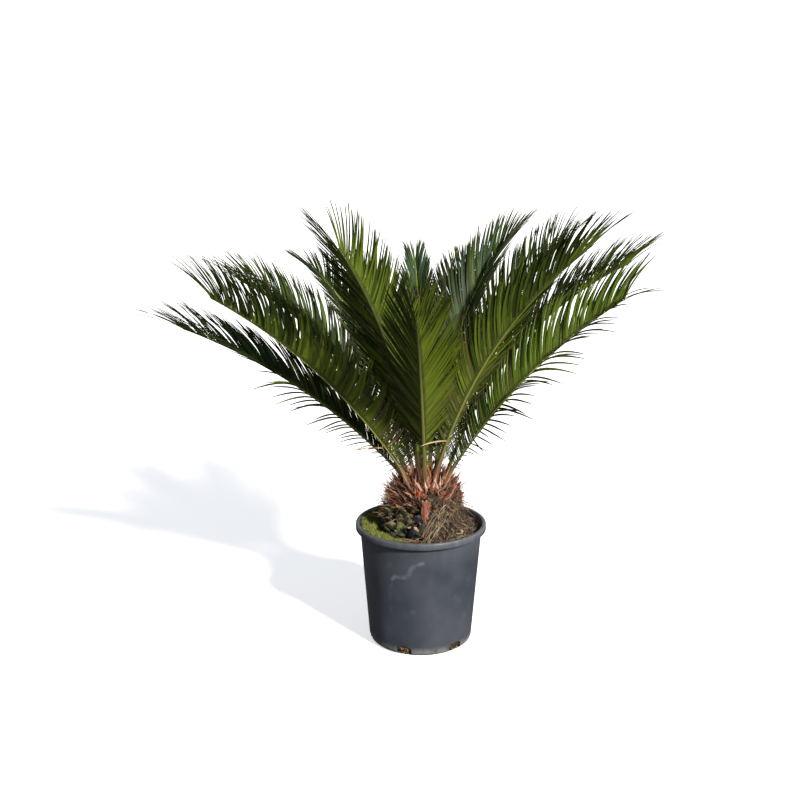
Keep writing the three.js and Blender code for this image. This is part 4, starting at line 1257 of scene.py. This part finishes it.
def make_moss_bed():
    """The cushion under the tufts, one closed body."""
    rings = []
    for angle in np.radians(np.linspace(MOSS_FIRST_ANGLE, MOSS_LAST_ANGLE, MOSS_COLUMNS)):
        across = np.linspace(moss_inner(angle), MOSS_OUTER, MOSS_ROWS)
        top = [on_soil(r, angle, max(moss_height(r, angle), 0.3 * MM)) for r in across]
        below = [on_soil(r, angle, -6 * MM) for r in across[::-1]]
        rings.append(top + below)
    rings = np.array(rings)
    rings[1:-1, 1:MOSS_ROWS - 1] = rough(rings[1:-1, 1:MOSS_ROWS - 1], 160, 4 * MM)
    pile = Pile()
    pile.loft(rings, 0)
    bed = mottled_material("moss_bed", (0.016, 0.018, 0.006), (0.06, 0.07, 0.014), (0.13, 0.14, 0.03),
                           0.95, 90, 3 * MM)
    pile.piece("moss_bed", [bed], "moss", "moss", crease=80)


def make_moss_tufts(rng):
    """Small leaning blades all over the cushion, painted lighter on its lumps, with dead ones among them."""
    pile = Pile()
    section = round_section(3)
    t = np.linspace(0, 1, 4)
    for _ in range(TUFT_COUNT):
        angle = math.radians(rng.uniform(MOSS_FIRST_ANGLE, MOSS_LAST_ANGLE))
        radius = rng.uniform(moss_inner(angle) - 3 * MM, MOSS_OUTER)
        root = on_soil(radius, angle, moss_height(radius, angle) - 1 * MM)
        heading = unit(UP + rng.normal(0, 0.55, 3))
        lump = moss_lumps(radius, angle)
        length = rng.uniform(3, 10) * MM * (1 + 0.8 * max(lump, 0))
        path = bent_path(root, heading, rng.normal(0, 0.6, 3), length, t, 0.4)
        # The blades' colour follows the lumps: painted light on top of them, painted shade in the hollows
        # between.
        shade = int(np.clip(round(1.2 + 2.2 * lump + rng.normal(0, 0.6)), 0, 2))
        if rng.uniform() < 0.18 + 0.3 * (lump < -0.15):
            shade = rng.choice([3, 4])
        half = rng.uniform(0.5, 1.2) * MM * np.array([1, 0.9, 0.6, 0.1])
        pile.loft(sweep(path, np.array([1.0, 0.1, 0]), half, half * 0.5, section), shade, pointed=True)
    materials = plain_materials("moss_", MOSS_SHADES, 0.8, 500, 0.1 * MM)
    pile.piece("moss_tufts", materials, "moss", crease=60)


TWIGS = [  # points x and y in mm, height over the soil and thickness in mm, shade
    (((-40, -124), (-10, -125), (30, -121), (84, -100)), 9, 2.6, 6),
    (((6, -128), (50, -120), (96, -92)), 9, 1.8, 3),
    (((125, 100), (140, 88), (157, 74)), 9, 3.2, 4),
    (((118, 84), (140, 82), (160, 62)), 9, 2.2, 4),
    (((52, -130), (60, -126), (74, -122)), 7, 5.0, 3),
    (((104, 60), (128, 58), (150, 42)), 7, 2.6, 3),
    (((-128, -10), (-120, -60), (-96, -88)), 7, 1.8, 5),
    (((-18, -104), (-9, -116), (2, -128)), 20, 3.8, 3),
    (((0, -104), (-2, -116), (-14, -126)), 17, 3.0, 4),
    (((10, -108), (18, -118), (30, -130)), 14, 3.0, 2),
    (((-44, -118), (-30, -122), (-22, -132)), 12, 2.6, 3),
    (((40, -104), (24, -120), (18, -134)), 12, 2.4, 4),
    (((80, -84), (104, -70), (130, -64)), 14, 2.4, 4),
    (((96, -60), (112, -30), (136, -14)), 12, 2.2, 4),
]
LITTER_COUNT = 480
LITTER_SHARES = [0.24, 0.32, 0.22, 0.12, 0.04, 0.03, 0.03]
LITTER_REACH = 167 * MM


def make_litter(rng):
    """Dead strands that lie on the soil, thickest at the right, and a few twigs."""
    pile = Pile()
    section = round_section(5)
    t = np.linspace(0, 1, 9)
    for _ in range(LITTER_COUNT):
        angle = math.radians(rng.normal(-45, 52))
        radius = rng.uniform(106, 160) * MM
        length = rng.uniform(25, 80) * MM
        middle = on_soil(radius, angle, rng.uniform(1, 11) * MM)
        flow = rng.uniform(0, 2 * math.pi)
        heading = np.array([math.cos(flow), math.sin(flow), rng.normal(0.05, 0.18)])
        bend = rng.normal(0, 1, 3) * [1, 1, 0.35]
        path = middle + np.outer((t - 0.5) * length, heading) + np.outer((t - 0.5) ** 2 * length * 1.2, bend)
        reach = np.linalg.norm(path[:, :2], axis=1)
        path[:, :2] *= np.minimum(1, LITTER_REACH / reach)[:, None]
        path[:, 2] = np.maximum(path[:, 2], SOIL_LEVEL + 1 * MM)
        shade = rng.choice(7, p=LITTER_SHARES)
        add_strand(pile, path, rng.uniform(0.8, 2.0) * MM, shade, section, UP, 0.7)
    for points, height, thick, shade in TWIGS:
        places = np.linspace(0, 1, len(points))
        x, y = [np.interp(t, places, [point[axis] * MM for point in points]) for axis in (0, 1)]
        path = np.stack([x, y, SOIL_LEVEL + (height + 2 * np.sin(t * 6)) * MM], axis=1)
        add_strand(pile, path, thick * MM, shade, section, UP, 0.8)
    materials = plain_materials("litter_fibre_", FIBRE_SHADES, 0.8, 400, 0.3 * MM)
    pile.piece("soil_litter", materials, "soil", crease=60)


# ---------------------------------------------------------------- camera, light and floor

CAMERA_PLACE = (0, -3.2, 1.525)
CAMERA_DOWN = math.radians(14.03)
CAMERA_TURN = math.radians(1.09)
CAMERA_LENS = 51.94  # on a sensor 36 mm wide
KEY_FROM = Vector((0.52, -0.66, 0.54))
BELOW = (0.1, 0.095, 0.085)
HORIZON = (1.05, 1.05, 1.05)
OVERHEAD = (0.24, 0.27, 0.33)
SKY = (  # place from straight down to straight up, colour
    (0.0, BELOW), (0.455, BELOW), (0.475, HORIZON), (0.55, HORIZON), (0.6, (0.26, 0.275, 0.3)),
    (1.0, OVERHEAD),
)
FLOOR_REACH = 60
FLOOR_GLOW = 0.62


def make_camera():
    camera = bpy.data.objects.new("camera", bpy.data.cameras.new("camera"))
    camera.location = CAMERA_PLACE
    camera.rotation_euler = (math.radians(90) - CAMERA_DOWN, 0, CAMERA_TURN)
    camera.data.lens = CAMERA_LENS
    camera.data.sensor_width = 36
    camera.data.clip_end = 200
    bpy.context.scene.collection.objects.link(camera)
    bpy.context.scene.camera = camera


def make_light():
    """A soft key from the front right, and a room that is white at the horizon and dim overhead."""
    key = bpy.data.objects.new("key", bpy.data.lights.new("key", "SUN"))
    key.data.energy = 5.4
    key.data.angle = math.radians(5)
    key.data.color = (1.0, 0.96, 0.9)
    key.rotation_euler = KEY_FROM.to_track_quat("Z", "Y").to_euler()
    bpy.context.scene.collection.objects.link(key)
    world = bpy.data.worlds.new("room")
    world.use_nodes = True
    tree = world.node_tree
    place = tree.nodes.new("ShaderNodeTexCoord")
    split = tree.nodes.new("ShaderNodeSeparateXYZ")
    tree.links.new(place.outputs["Generated"], split.inputs["Vector"])
    colour = ramp_node(tree, range_node(tree, split.outputs["Z"], -1.0, 1.0), *SKY)
    tree.links.new(colour, tree.nodes["Background"].inputs["Color"])
    bpy.context.scene.world = world
    bpy.context.scene.view_settings.view_transform = "Standard"


def make_floor():
    """A pale floor that throws no light back up, as dark ground would not."""
    mesh = bpy.data.meshes.new("floor")
    corners = [(x * FLOOR_REACH, y * FLOOR_REACH, 0) for x, y in ((-1, -1), (1, -1), (1, 1), (-1, 1))]
    mesh.from_pydata(corners, [], [(0, 1, 2, 3)])
    floor = bpy.data.objects.new("floor", mesh)
    bpy.context.scene.collection.objects.link(floor)
    floor.visible_diffuse = False
    floor.visible_glossy = False
    material, _, shader = new_material("floor_pale", (0.9, 0.9, 0.9), 0.9, 0.0)
    shader.inputs["Emission Color"].default_value = (1, 1, 1, 1)
    shader.inputs["Emission Strength"].default_value = FLOOR_GLOW
    mesh.materials.append(material)


# ---------------------------------------------------------------- the whole plant

noise.seed_set(SEED)  # without a seed, noise_vector differs from run to run
random = np.random.default_rng(SEED)
make_camera()
make_light()
make_floor()
make_pot()
make_soil()
make_chips(random)
make_stem()
make_leaf_bases(random)
make_collar(random)
make_bud(random)
make_fibres(random)
make_moss_bed()
make_moss_tufts(random)
make_litter(random)
make_fronds(random)
